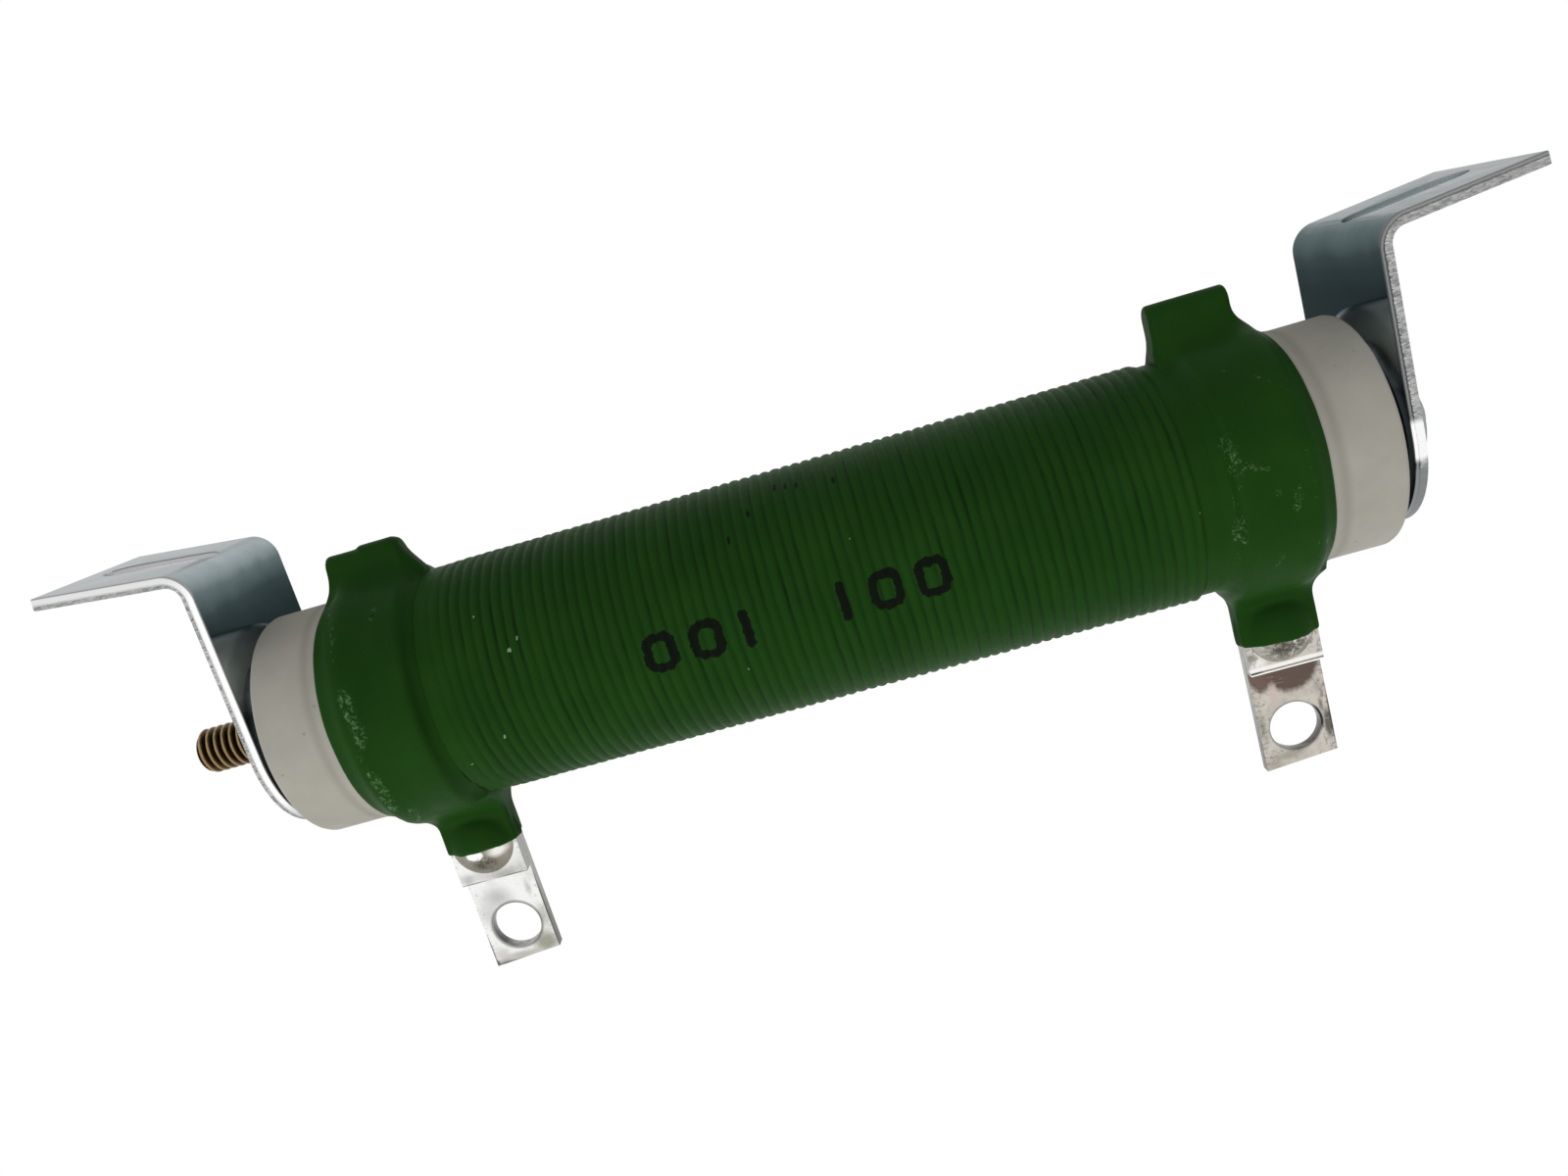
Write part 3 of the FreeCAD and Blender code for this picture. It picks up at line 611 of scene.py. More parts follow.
ridge_steps = [
    ("wander middle", "SUBTRACT", "wander noise", 0.5),
    ("wander", "MULTIPLY", "wander middle", "Unevenness"),
    ("swell middle", "SUBTRACT", "swell noise", 0.5),
    ("swell", "MULTIPLY", "swell middle", "Unevenness"),
    ("from first", "SUBTRACT", "x", "First Ridge"),
    ("turns", "DIVIDE", "from first", "Pitch"),
    ("helix", "SUBTRACT", "turns", "turn"),
    ("helix drift", "MULTIPLY", "wander", 0.9),
    ("phase", "ADD", "helix", "helix drift"),
    ("half later", "ADD", "phase", 0.5),
    ("part turn", "FRACT", "half later"),
    ("off crest", "SUBTRACT", "part turn", 0.5),
    ("from crest", "ABSOLUTE", "off crest"),
    ("twice", "MULTIPLY", "from crest", 2),
    ("fall", "POWER", "twice", "Roundness"),
    ("bulge", "SUBTRACT", 1, "fall"),
    ("rise", "MULTIPLY", "bulge", "Crest"),
    ("past start", "SUBTRACT", "x", "Lift Start"),
    ("after start", "DIVIDE", "past start", "Lift Edge"),
    ("short of end", "SUBTRACT", "Lift End", "x"),
    ("before end", "DIVIDE", "short of end", "Lift Edge"),
    ("start ramp", "SMOOTH_MIN", "after start", 1, 0.4),
    ("end ramp", "SMOOTH_MIN", "before end", 1, 0.4),
    ("lifted", "MULTIPLY", "start ramp", "end ramp"),
    ("before fade", "DIVIDE", "short of end", "Fade"),
    ("ridged", "MULTIPLY", "after start", "before fade"),
    ("swollen", "MULTIPLY_ADD", "swell", 1.2, 1),
    ("height", "MULTIPLY", "Ridge Height", "swollen"),
    ("risen", "MULTIPLY", "rise", "height"),
    ("ridge", "MULTIPLY", "risen", "ridged"),
    ("unridged", "SUBTRACT", "lifted", "ridged"),
    ("half height", "MULTIPLY", "height", 0.5),
    ("soft top", "MULTIPLY", "unridged", "half height"),
    ("lifted radius", "MULTIPLY_ADD", "Lift", "lifted", "Plain Radius"),
    ("ridged radius", "ADD", "lifted radius", "ridge"),
    ("topped radius", "ADD", "ridged radius", "soft top"),
    ("uneven radius", "MULTIPLY_ADD", "swell", 0.03, "topped radius"),
    ("to start", "SUBTRACT", "x", "Start"),
    ("to end", "SUBTRACT", "End", "x"),
    ("to rim", "MINIMUM", "to start", "to end"),
    ("base radius", "ADD", "Plain Radius", "Lift"),
    ("crest radius", "ADD", "base radius", "Ridge Height"),
    ("rim radius", "SUBTRACT", "crest radius", "Chamfer"),
    ("edge radius", "ADD", "rim radius", "to rim"),
    ("outer radius", "MINIMUM", "uneven radius", "edge radius"),
    ("wall drop", "SUBTRACT", "Inner Radius", "outer radius"),
    ("radius", "MULTIPLY_ADD", "wall drop", "on inner wall", "outer radius"),
    ("y", "MULTIPLY", "radius", "cosine"),
    ("z", "MULTIPLY_ADD", "radius", "sine", AXIS_Z),
    ("unrisen", "SUBTRACT", 1, "rise"),
    ("groove", "MULTIPLY", "unrisen", "ridged"),
]
held_to_one = {"share", "rise", "after start", "before end", "before fade"}
for steps in (grid_steps, ridge_steps):
    for step, operation, *values in steps:
        inputs = {index: made.get(value, value) for index, value in enumerate(values)}
        made[step] = add_node(ridges, "Math " + operation, inputs, use_clamp=step in held_to_one)
    if steps is grid_steps:
        spot = add_node(ridges, "CombineXYZ", {
            "X": made["stretched x"], "Y": made["round y"], "Z": made["round z"],
        })
        for unevenness, scale, detail in (("wander noise", 0.32, 2.0), ("swell noise", 0.5, 3.0)):
            made[unevenness] = add_node(ridges, "TexNoise", {
                "Vector": spot, "W": made["Seed"], "Scale": scale, "Detail": detail,
            }, noise_dimensions="4D")
grid = add_node(ridges, "GeometryNodeMeshGrid", {
    "Size X": 1.0, "Size Y": 1.0, "Vertices X": made["Columns"], "Vertices Y": made["row points"],
})
stored = add_node(ridges, "GeometryNodeStoreNamedAttribute", {
    "Geometry": grid, "Name": "groove", "Value": made["groove"],
}, data_type="FLOAT", domain="POINT")
spot = add_node(ridges, "CombineXYZ", {"X": made["x"], "Y": made["y"], "Z": made["z"]})
metres = add_node(ridges, "VectorMath SCALE", {0: spot, "Scale": MM})
placed = add_node(ridges, "GeometryNodeSetPosition", {"Geometry": stored, "Position": metres})
merged = add_node(ridges, "GeometryNodeMergeByDistance", {"Geometry": placed, "Distance": 0.0002 * MM})
real = add_node(ridges, "GeometryNodeRealizeInstances", {"Geometry": merged})
coloured = add_node(ridges, "GeometryNodeSetMaterial", {"Geometry": real, "Material": made["Material"]})
add_node(ridges, "NodeGroupOutput", {"Geometry": coloured})


def ridged_piece(name, material, **values):
    """A plain mesh of the ridge tree with these sizes, cleaned of what the merge left without area."""
    piece = new_object(name, bpy.data.meshes.new(name))
    modifier = piece.modifiers.new("ridges", "NODES")
    modifier.node_group = ridges
    for item in ridges.interface.items_tree:
        if item.in_out == "INPUT":
            given = material if item.name == "Material" else values[item.name.replace(" ", "_").lower()]
            modifier[item.identifier] = given
    apply_modifiers(piece)
    shape = bmesh.new()
    shape.from_mesh(piece.data)
    bmesh.ops.dissolve_degenerate(shape, dist=0.0001 * MM, edges=shape.edges)
    bmesh.ops.delete(shape, geom=[edge for edge in shape.edges if not edge.link_faces], context="EDGES")
    bmesh.ops.recalc_face_normals(shape, faces=shape.faces)
    shape.to_mesh(piece.data)
    shape.free()
    return piece


# Brushed silicone cement: a dark satin green with painted shade in the grooves, scuffs and pale chips.
cement, tree, place = start_material("brushed_green_silicone_cement")
axis = add_node(tree, "SeparateXYZ", {0: place}).node.outputs
over_axis = add_node(tree, "Math SUBTRACT", {0: axis["Z"], 1: AXIS_Z})
to_front = add_node(tree, "Math MULTIPLY", {0: axis["Y"], 1: -1.0})
bearing = add_node(tree, "Math ARCTAN2", {0: over_axis, 1: to_front})
coat_radius = 9.84
arc = add_node(tree, "Math MULTIPLY", {0: bearing, 1: coat_radius})
unrolled = add_node(tree, "CombineXYZ", {"X": axis["X"], "Y": arc})

cloud = add_node(tree, "TexNoise", {"Vector": place, "Scale": 0.16, "Detail": 4.0, "Roughness": 0.55})
tone = add_node(tree, "ValToRGB", {"Fac": cloud})
set_stops(tone, 1, [(0.3, "#193d10"), (0.72, "#204614")])
fine = add_node(tree, "TexNoise", {"Vector": place, "Scale": 3.2, "Detail": 5.0, "Roughness": 0.7})
groove = add_node(tree, "Attribute", read="Fac", attribute_name="groove")
filled_place = add_node(tree, "Mapping", {"Vector": unrolled, "Scale": (1.0, 0.12, 1.0)})
filled = add_node(tree, "TexNoise", {"Vector": filled_place, "Scale": 0.9, "Detail": 3.0})
open_groove = add_node(tree, "MapRange", {
    "Value": filled, "From Min": 0.45, "From Max": 0.75, "To Min": 0.22, "To Max": 0.9,
})
# Painted shade in the grooves, less where the cement has filled them.
shade = add_node(tree, "MapRange", {
    "Value": groove, "From Min": 0.1, "From Max": 1.0,
}, interpolation_type="SMOOTHSTEP")
shade = add_node(tree, "Math MULTIPLY", {0: shade, 1: open_groove})
coated = add_node(tree, "Mix RGBA", {"Factor": shade, "A": tone, "B": "#0a1c06"})

# Scuffs: paler, broken up where the brush marks were rubbed.
scuff = add_node(tree, "Attribute", read="Fac", attribute_name="scuff")
flaky = add_node(tree, "TexNoise", {
    "Vector": place, "Scale": 2.4, "Detail": 8.0, "Roughness": 0.8, "Distortion": 1.2,
})
rubbed_and_highlit = add_node(tree, "Math MULTIPLY_ADD", {0: scuff, 1: 0.24, 2: flaky})
rubbed_and_highlit = add_node(tree, "MapRange", {"Value": rubbed_and_highlit, "From Min": 0.71, "From Max": 0.8, "To Max": 0.8})
within = add_node(tree, "MapRange", {"Value": scuff, "From Max": 0.25})
rubbed_and_highlit = add_node(tree, "Math MULTIPLY", {0: rubbed_and_highlit, 1: within})
coated = add_node(tree, "Mix RGBA", {"Factor": rubbed_and_highlit, "A": coated, "B": "#668c5e"})

# Pale chips and dark pits in the coat, and painted shade in the crevice where the winding's first turn meets
# the coat by the tab: (x, arc from the front, radius in x, radius in arc) in mm.
chips = [
    (25.75, -6.9, 0.1, 0.14), (22.62, -4.2, 0.1, 0.2), (23.43, -3.5, 0.16, 0.22), (26.06, 3.2, 0.12, 0.2),
    (-29.4, 0.7, 0.08, 0.1), (6.1, 3.2, 0.06, 0.1), (29.6, 5.1, 0.16, 0.08), (-4.1, -4.6, 0.08, 0.08),
]
dark_pits_and_crevice_shade = [
    (22.3, -1.1, 0.07, 0.07), (0.6, -11.4, 0.24, 0.7), (-0.25, -11.2, 0.22, 0.6), (-1.1, -10.9, 0.23, 0.55),
    (3.0, -9.2, 0.18, 0.5), (-4.0, -10.2, 0.18, 0.6), (4.9, -7.2, 0.15, 0.5), (33.8, -9.1, 0.2, 0.1),
    # The last three on this line are painted shade along the crevice at the winding's start, beside the tab.
    (25.6, -6.6, 0.1, 0.07), (30.75, 6.6, 0.12, 1.5), (30.55, 9.2, 0.16, 2.0), (30.2, 12.0, 0.2, 1.6),
]
warped = ragged_place(tree, unrolled, fine, 0.5)
spots = [
    ((x, y, 0), (reach_x, reach_y, None), code, strength, edge)
    for marks, code, strength, edge in ((chips, "#a3bf9b", 0.75, 0.5), (dark_pits_and_crevice_shade, "#060f04", 0.95, 0.45))
    for x, y, reach_x, reach_y in marks
]
coated = spotted(tree, coated, warped, spots)

# Stamped ink. Plain open and closed marks stand where the real part is stamped: (x, half width).
mark_height = 3.1
mark_arc = -0.15
mark_corner = 1.0
stroke = 0.7
ring_marks = [(-9.35, 1.32), (-5.7, 1.32), (8.4, 1.32), (12.1, 1.32)]
bar_marks = [(-2.4, stroke / 2), (5.2, stroke / 2)]
nearest = None
for mark_x, half_width in ring_marks + bar_marks:
    offset = add_node(tree, "VectorMath SUBTRACT", {0: unrolled, 1: (mark_x, mark_arc, 0)})
    size = add_node(tree, "VectorMath ABSOLUTE", {0: offset})
    corner = min(mark_corner, half_width)
    straight = (half_width - corner, mark_height / 2 - corner, 0)
    past = add_node(tree, "VectorMath SUBTRACT", {0: size, 1: straight})
    past = add_node(tree, "VectorMath MAXIMUM", {0: past, 1: (0, 0, 0)})
    distance = add_node(tree, "VectorMath LENGTH", {0: past})
    distance = add_node(tree, "Math SUBTRACT", {0: distance, 1: corner - stroke / 2})
    distance = add_node(tree, "Math ABSOLUTE", {0: distance})
    if nearest is not None:
        distance = add_node(tree, "Math MINIMUM", {0: nearest, 1: distance})
    nearest = distance
blot = add_node(tree, "TexNoise", {"Vector": place, "Scale": 2.2, "Detail": 4.0, "Roughness": 0.65})
ragged = add_node(tree, "Math MULTIPLY_ADD", {0: blot, 1: 0.6, 2: nearest})
ragged = add_node(tree, "Math MULTIPLY_ADD", {0: groove, 1: 0.1, 2: ragged})
ink = add_node(tree, "MapRange", {
    "Value": ragged, "From Min": 0.66, "From Max": 0.72, "To Min": 0.97, "To Max": 0.0,
})
on_front = add_node(tree, "Math GREATER_THAN", {0: to_front, 1: 0.0})
ink = add_node(tree, "Math MULTIPLY", {0: ink, 1: on_front})
coated = add_node(tree, "Mix RGBA", {"Factor": ink, "A": coated, "B": "#0b100a"})
rough = add_node(tree, "MapRange", {
    "Value": fine, "From Min": 0.3, "From Max": 0.7, "To Min": 0.42, "To Max": 0.6,
})
bump = add_node(tree, "Bump", {"Height": fine, "Strength": 0.3, "Distance": 0.03 * MM})
shader = add_node(tree, "BsdfPrincipled", {
    "Base Color": coated, "Roughness": rough, "Specular IOR Level": 0.04, "Normal": bump,
})
add_node(tree, "OutputMaterial", {"Surface": shader})

winding_coat = ridged_piece(
    "cement_over_winding", cement, start=coat_seams[LEFT], end=coat_seams[RIGHT], columns=620, rows=112,
    inner_radius=tube_radius, plain_radius=plain_coat_radius, lift=groove_radius - plain_coat_radius,
    lift_start=winding_ends[LEFT], lift_end=winding_ends[RIGHT], lift_edge=0.3, fade=3.4,
    ridge_height=ridge_height, pitch=ridge_pitch, first_ridge=first_ridge_x, roundness=2.2, crest=1.0,
    chamfer=0.0, unevenness=0.4, seed=3.0,
)
settle(winding_coat, 0, None, "green_cement", "cement_coat")

# The coat's two ends run over a strap's ring, its ear, the root of its tab and half of its rivet,
# with soft fillets where the wet cement drew together. x is outward from the tube's middle.
ring_x = {RIGHT: 34.6, LEFT: 35.1}
ear_x = {RIGHT: 35.3, LEFT: 34.15}
ear_reach = {RIGHT: 13.25, LEFT: 14.15}
coat_reach = {RIGHT: 14.7, LEFT: 15.2}
ring_half_width = 2.9
ring_coat_radius = 10.62
tab_half_width = 3.2
tab_half_depth = 1.19
end_coat_radius = 9.75
buried_radius = 8.75
roundings = {"ring": 0.45, "tab": 0.25, "ear": 0.3, "web": 0.4, "rim": 0.3}
fillets = {"ring": 1.3, "behind ring": 0.7, "cap": 0.35, "tab": 1.5, "ear": 1.9, "web": 0.8}
# The end goes on under the ridged coat and rises from it over a short way.
seam_overlap = 0.9
seam_rise_length = 0.7
seam_sink = 0.05
seam_rise = 0.07
# The coat thickens from its edge inwards, and the tab's root spreads out below root_top.
wedge_slope = 0.14
wedge_length = 2.5
root_spread = 2.4
root_top = 12.4
root_height = 2.8
root_limit = 1.2
# The cement over the rivet's two ends: (radius, height, -1 in front or 1 behind).
rivet_caps = ((2.9, 1.4, -1), (2.45, 0.95, 1))
ear_root = 6
# A web of cement beside the right-hand ear: a corner, the way it faces, and its offset there.
web_corner = (32.9, -13.6)
web_facing = (-0.833, -0.567)
web_offset = 0.1
web_half_depth = 0.75
skin_step = 0.2
skin_half_width = 11.2
skin_bottom = -14.9
skin_top = 16.0
seam_margin = 1.5
edge_margin = 0.6


def joined(a, b, blend):
    """Two distances as one body, with a fillet of about the blend's size where they meet."""
    return np.minimum(a, b) - np.maximum(blend - np.abs(a - b), 0) ** 2 / (4 * blend)


def trimmed(a, b, blend):
    """Where two distances both hold, with the edge between them softened."""
    return -joined(-a, -b, blend)


def rounded_pair(a, b, rounding):
    """Where two distances both hold, with the edge between them rounded."""
    a = a + rounding
    b = b + rounding
    return np.hypot(np.maximum(a, 0), np.maximum(b, 0)) + np.minimum(np.maximum(a, b), 0) - rounding


def cap(x, y, z, centre_x, radius, height, facing):
    """A rivet's dome under the coat."""
    sphere = (radius**2 + height**2) / (2 * height)
    centre_y = facing * (lap_outer + height - sphere)
    return np.sqrt((x - centre_x) ** 2 + (y - centre_y) ** 2 + (z - rivet_reach) ** 2) - sphere


def coat_end(side, x, y, z):
    """Distance in mm outside the coat's end, x outward, y back and z up from the axis."""
    radius = np.hypot(y, z)
    past_ring = np.clip((x - ring_x[side]) / 2, 0, 1)
    skin_start = abs(coat_seams[side]) - seam_overlap
    past_seam = np.clip((x - skin_start) / seam_rise_length, 0, 1)
    wedge = end_coat_radius + wedge_slope * np.clip(coat_edge - x, 0, wedge_length)
    body_radius = plain_coat_radius - seam_sink + seam_rise * past_seam
    body_radius = body_radius + past_ring * (wedge - plain_coat_radius - (seam_rise - seam_sink))
    ring_side = np.abs(x - ring_x[side]) - ring_half_width
    ring = rounded_pair(ring_side, radius - ring_coat_radius, roundings["ring"])
    shape = joined(radius - body_radius, ring, fillets["ring"] + fillets["behind ring"] * past_ring)

    tab_x = abs(tab_centre_x[side])
    spread = root_spread * np.clip((root_top - z) / root_height, 0, root_limit) ** 2
    tab_face = np.abs(y) - tab_half_depth - spread
    tab = rounded_pair(np.abs(x - tab_x) - tab_half_width, tab_face, roundings["tab"])
    tab = np.maximum(tab, -z)
    for cap_radius, height, facing in rivet_caps:
        dome = np.maximum(cap(x, y, z, tab_x, cap_radius, height, facing), facing * -y)
        tab = joined(tab, dome, fillets["cap"])

    # The brushed cement's edges waver a little.
    wave = 0.07 * np.sin(1.4 * x + side) + 0.03 * np.sin(3.1 * x + 2 * y)
    tab = trimmed(tab, z - coat_reach[side] - wave, roundings["rim"])

    past_ear = np.maximum(np.abs(z + ear_root) - (ear_reach[side] - tab_half_depth - ear_root), 0)
    ear_middle = np.hypot(y, past_ear) - tab_half_depth
    ear = rounded_pair(ear_middle, np.abs(x - ear_x[side]) - tab_half_width, roundings["ear"])
    shape = joined(joined(shape, tab, fillets["tab"]), ear, fillets["ear"])
    if side == RIGHT:
        slant = (x - web_corner[0]) * web_facing[0] + (z - web_corner[1]) * web_facing[1] + web_offset
        slant = np.maximum(np.maximum(slant, x - ear_x[side]), -z - ear_reach[side])
        web = rounded_pair(np.abs(y) - web_half_depth, slant, roundings["web"])
        shape = joined(shape, np.maximum(web, z), fillets["web"])
    rim_wave = 0.03 * np.sin(0.9 * y + 0.5 * z)
    shape = trimmed(shape, x - coat_edge - rim_wave, roundings["rim"])
    shape = np.maximum(shape, skin_start - x)
    return np.maximum(shape, buried_radius - radius)


def skin(values, low, step):
    """A closed quad mesh on the zero level of a grid of distances, with a vertex in each cell it crosses."""
    cells = tuple(count - 1 for count in values.shape)
    total = np.zeros(cells + (3,))
    crossings = np.zeros(cells)
    around_edges = []
    for axis in range(3):
        lower = [slice(None)] * 3
        upper = [slice(None)] * 3
        lower[axis] = slice(0, -1)
        upper[axis] = slice(1, None)
        near = values[tuple(lower)]
        far = values[tuple(upper)]
        crossed = (near < 0) != (far < 0)
        edge = np.argwhere(crossed)
        point = edge.astype(float)
        point[:, axis] += near[crossed] / (near[crossed] - far[crossed])
        around = []
        for shift in ((0, 0), (-1, 0), (-1, -1), (0, -1)):
            cell = edge.copy()
            cell[:, (axis + 1) % 3] += shift[0]
            cell[:, (axis + 2) % 3] += shift[1]
            np.add.at(total, tuple(cell.T), point)
            np.add.at(crossings, tuple(cell.T), 1)
            around.append(np.ravel_multi_index(tuple(cell.T), cells))
        around = np.stack(around, 1)
        inward = near[crossed] >= 0
        around[inward] = around[inward][:, ::-1]
        around_edges.append(around)
    used = np.flatnonzero(crossings)
    number = np.full(crossings.size, -1)
    number[used] = np.arange(len(used))
    points = total.reshape(-1, 3)[used] / crossings.ravel()[used][:, None]
    return low + step * points, number[np.concatenate(around_edges)]


# Scuffs where the bands rubbed: for each side (x outward, bearing in degrees from the front
# towards the tabs) of both ends, half width in mm and strength.
scuffs = {
    LEFT: [
        (33.8, -44, 32.6, -17, 0.25, 0.5), (32.3, -22, 32.5, -9, 0.6, 0.75),
        (32.9, -10, 34.7, -7, 0.22, 0.85), (32.4, -13, 34.0, -11, 0.25, 0.6),
        (32.2, -8, 32.0, 14, 0.45, 0.5), (32.0, 12, 31.9, 21, 0.5, 0.75),
        (33.8, -54, 36.2, -44, 0.14, 0.8), (36.2, -44, 37.7, -34, 0.12, 0.6), (34.7, 0, 34.9, 3, 0.4, 0.7),
        (34.9, 33, 34.6, 39, 0.3, 0.75), (36.3, 4, 36.1, 11, 0.4, 0.75), (38.2, 28, 38.3, 35, 0.3, 0.7),
        (37.5, -13, 37.5, 35, 0.14, 0.6), (31.9, 24, 31.7, 40, 0.35, 0.6), (34.2, 14, 35.9, 22, 0.3, 0.5),
    ],
    RIGHT: [
        (37.6, -62, 36.9, -44, 0.3, 0.75), (37.1, -44, 37.0, -20, 0.14, 0.6), (36.6, -20, 36.3, 0, 0.6, 0.9),
        (36.7, 18, 36.9, 38, 0.55, 0.85), (35.9, 43, 36.9, 63, 0.45, 0.85), (33.6, -57, 33.9, -52, 0.35, 0.8),
        (37.0, 4, 36.8, 16, 0.3, 0.6), (37.6, -10, 37.7, 30, 0.12, 0.55),
    ],
}
scuff_reach = 1.6


def scuff_strengths(side, points):
    """How scuffed the coat is at each point: full on a line, none past scuff_reach of its half widths."""
    place = np.stack([points[:, 0], coat_radius * np.arctan2(points[:, 2], -points[:, 1])], 1)
    strengths = np.zeros(len(points))
    for start_x, start_bearing, stop_x, stop_bearing, half_width, strength in scuffs[side]:
        start = np.array((start_x, coat_radius * math.radians(start_bearing)))
        run = np.array((stop_x, coat_radius * math.radians(stop_bearing))) - start
        share = np.clip((place - start) @ run / (run @ run), 0, 1)
        away = np.linalg.norm(place - start - share[:, None] * run, axis=1)
        strengths = np.maximum(strengths, strength * np.clip(scuff_reach - away / half_width, 0, 1))
    return strengths


for side, name in SIDE_NAMES.items():
    low = np.array((abs(coat_seams[side]) - seam_margin, -skin_half_width, skin_bottom))
    high = np.array((coat_edge + edge_margin, skin_half_width, skin_top))
    ticks = [np.arange(low[axis], high[axis], skin_step) for axis in range(3)]
    grid_places = np.meshgrid(*ticks, indexing="ij")
    points, quads = skin(coat_end(side, *grid_places), low, skin_step)

    # The points are drawn onto the true surface in a few pulls, and then drift a little in and out.
    probe = 0.02
    pulls = 3
    pull_limit = 0.1
    drift_scale = 0.45
    drift_height = 0.03
    for _ in range(pulls):
        depth = coat_end(side, *points.T)
        slope = np.stack([
            (coat_end(side, *(points + step).T) - coat_end(side, *(points - step).T)) / (2 * probe)
            for step in np.eye(3) * probe
        ], 1)
        slope /= np.maximum(np.linalg.norm(slope, axis=1), 0.5)[:, None]
        points -= slope * np.clip(depth, -pull_limit, pull_limit)[:, None]
    drift = np.array([noise.noise(Vector(point) * drift_scale) for point in points])
    points += slope * (drift * drift_height)[:, None]
    strengths = scuff_strengths(side, points)
    places = points * (side, 1, 1) + (0, 0, AXIS_Z)
    faces = quads[:, ::side]
    mesh = bpy.data.meshes.new("cement_over_strap_" + name)
    mesh.from_pydata((places * MM).tolist(), [], faces.tolist())
    mesh.attributes.new("scuff", "FLOAT", "POINT").data.foreach_set("value", strengths.astype(np.float32))
    piece = new_object(mesh.name, mesh)
    settle(piece, 0, cement, "green_cement", "cement_coat")


# Through rod. M4 studding, zinc-plated and yellow-passivated, through the tube and both plates.
# Its thread is real geometry, rolled, with painted highlights on its crests.
rod_ends = {RIGHT: 54.8, LEFT: -50.1}
rod_radius = 2.0
thread_pitch = 0.7
thread_depth = 0.4

# Yellow-passivated zinc on rolled thread: dark brown flanks, with painted shade in the grooves and bronze
# painted highlights on the crests.
studding, tree, place = start_material("yellow_passivated_zinc")
groove = add_node(tree, "Attribute", read="Fac", attribute_name="groove")
film = add_node(tree, "TexNoise", {"Vector": place, "Scale": 0.9, "Detail": 3.0})
flank = add_node(tree, "Mix RGBA", {"Factor": film, "A": "#57452c", "B": "#4b3a2e"})
# Painted shade in the grooves.
depth = add_node(tree, "MapRange", {"Value": groove, "From Min": 0.25, "From Max": 0.8})
shaded = add_node(tree, "Mix RGBA", {"Factor": depth, "A": flank, "B": "#140c07"})
# Painted highlights on the crests.
crest = add_node(tree, "MapRange", {
    "Value": groove, "From Min": 0.02, "From Max": 0.16, "To Min": 0.8, "To Max": 0.0,
})
rubbed_and_highlit = add_node(tree, "Mix RGBA", {"Factor": crest, "A": shaded, "B": "#a38a5e"})
shader = add_node(tree, "BsdfPrincipled", {"Base Color": rubbed_and_highlit, "Metallic": 1.0, "Roughness": 0.28})
add_node(tree, "OutputMaterial", {"Surface": shader})

rod = ridged_piece(
    "threaded_rod", studding, start=rod_ends[LEFT], end=rod_ends[RIGHT], columns=1200, rows=28,
    inner_radius=0.0, plain_radius=rod_radius - thread_depth, lift=0.0, lift_start=2 * rod_ends[LEFT],
    lift_end=2 * rod_ends[RIGHT], lift_edge=1.0, fade=1.0, ridge_height=thread_depth, pitch=thread_pitch,
    first_ridge=0.0, roundness=1.15, crest=1.25, chamfer=0.4, unevenness=0.0, seed=0.0,
)
settle(rod, 0, None, "yellow_rod", "through_rod")


# End washers and nuts. Zinc-plated steel: a stepped washer centres the rod in the tube at each
# end, and a thin hexagon nut outside each plate pulls the whole stack together.
# Bright zinc on turned and pressed steel: satin blue-grey, slightly cloudy.
fastener, tree, place = start_material("bright_zinc_plate_on_turned_steel")
cloud = add_node(tree, "TexNoise", {"Vector": place, "Scale": 0.8, "Detail": 5.0, "Roughness": 0.6})
tone = add_node(tree, "Mix RGBA", {"Factor": cloud, "A": "#7f868a", "B": "#aab0b3"})
bump = add_node(tree, "Bump", {"Height": cloud, "Strength": 0.2, "Distance": 0.02 * MM})
shader = add_node(tree, "BsdfPrincipled", {
    "Base Color": tone, "Metallic": 1.0, "Roughness": 0.36, "Normal": bump,
})
add_node(tree, "OutputMaterial", {"Surface": shader})
for side, name in SIDE_NAMES.items():
    washer = copy_of_node("end_washer_" + name, "stepped_washer_" + name)
    settle(washer, 0.08, fastener, "zinc_fastener", "end_washer_" + name)
    nut = copy_of_node("rod_nut_" + name, "hexagon_nut_" + name)
    settle(nut, 0.06, fastener, "zinc_fastener", "rod_nut_" + name)


# Mounting brackets. Cut from 1 mm zinc-coated sheet and folded: a round-ended plate on the rod and
# a slotted foot that slopes outward. Their cut edges are bare, half burnished and half torn.
plate_inner_x = 46.0
sheet_thickness = 1.0
bend_outer_radius = 2.2
foot_slope = math.radians(6.2)
fold_z = 1.35
# The punched slot stays sharp. Its rim lies within these distances from the middle plane and z = 0.
slot_zone_y = 2.5
slot_zone_z = 4.0
# A face belongs to the cut edge where it looks this far across, or near the round end this little outward.
edge_facing = 0.35
end_facing = 0.3
end_z = 20.0


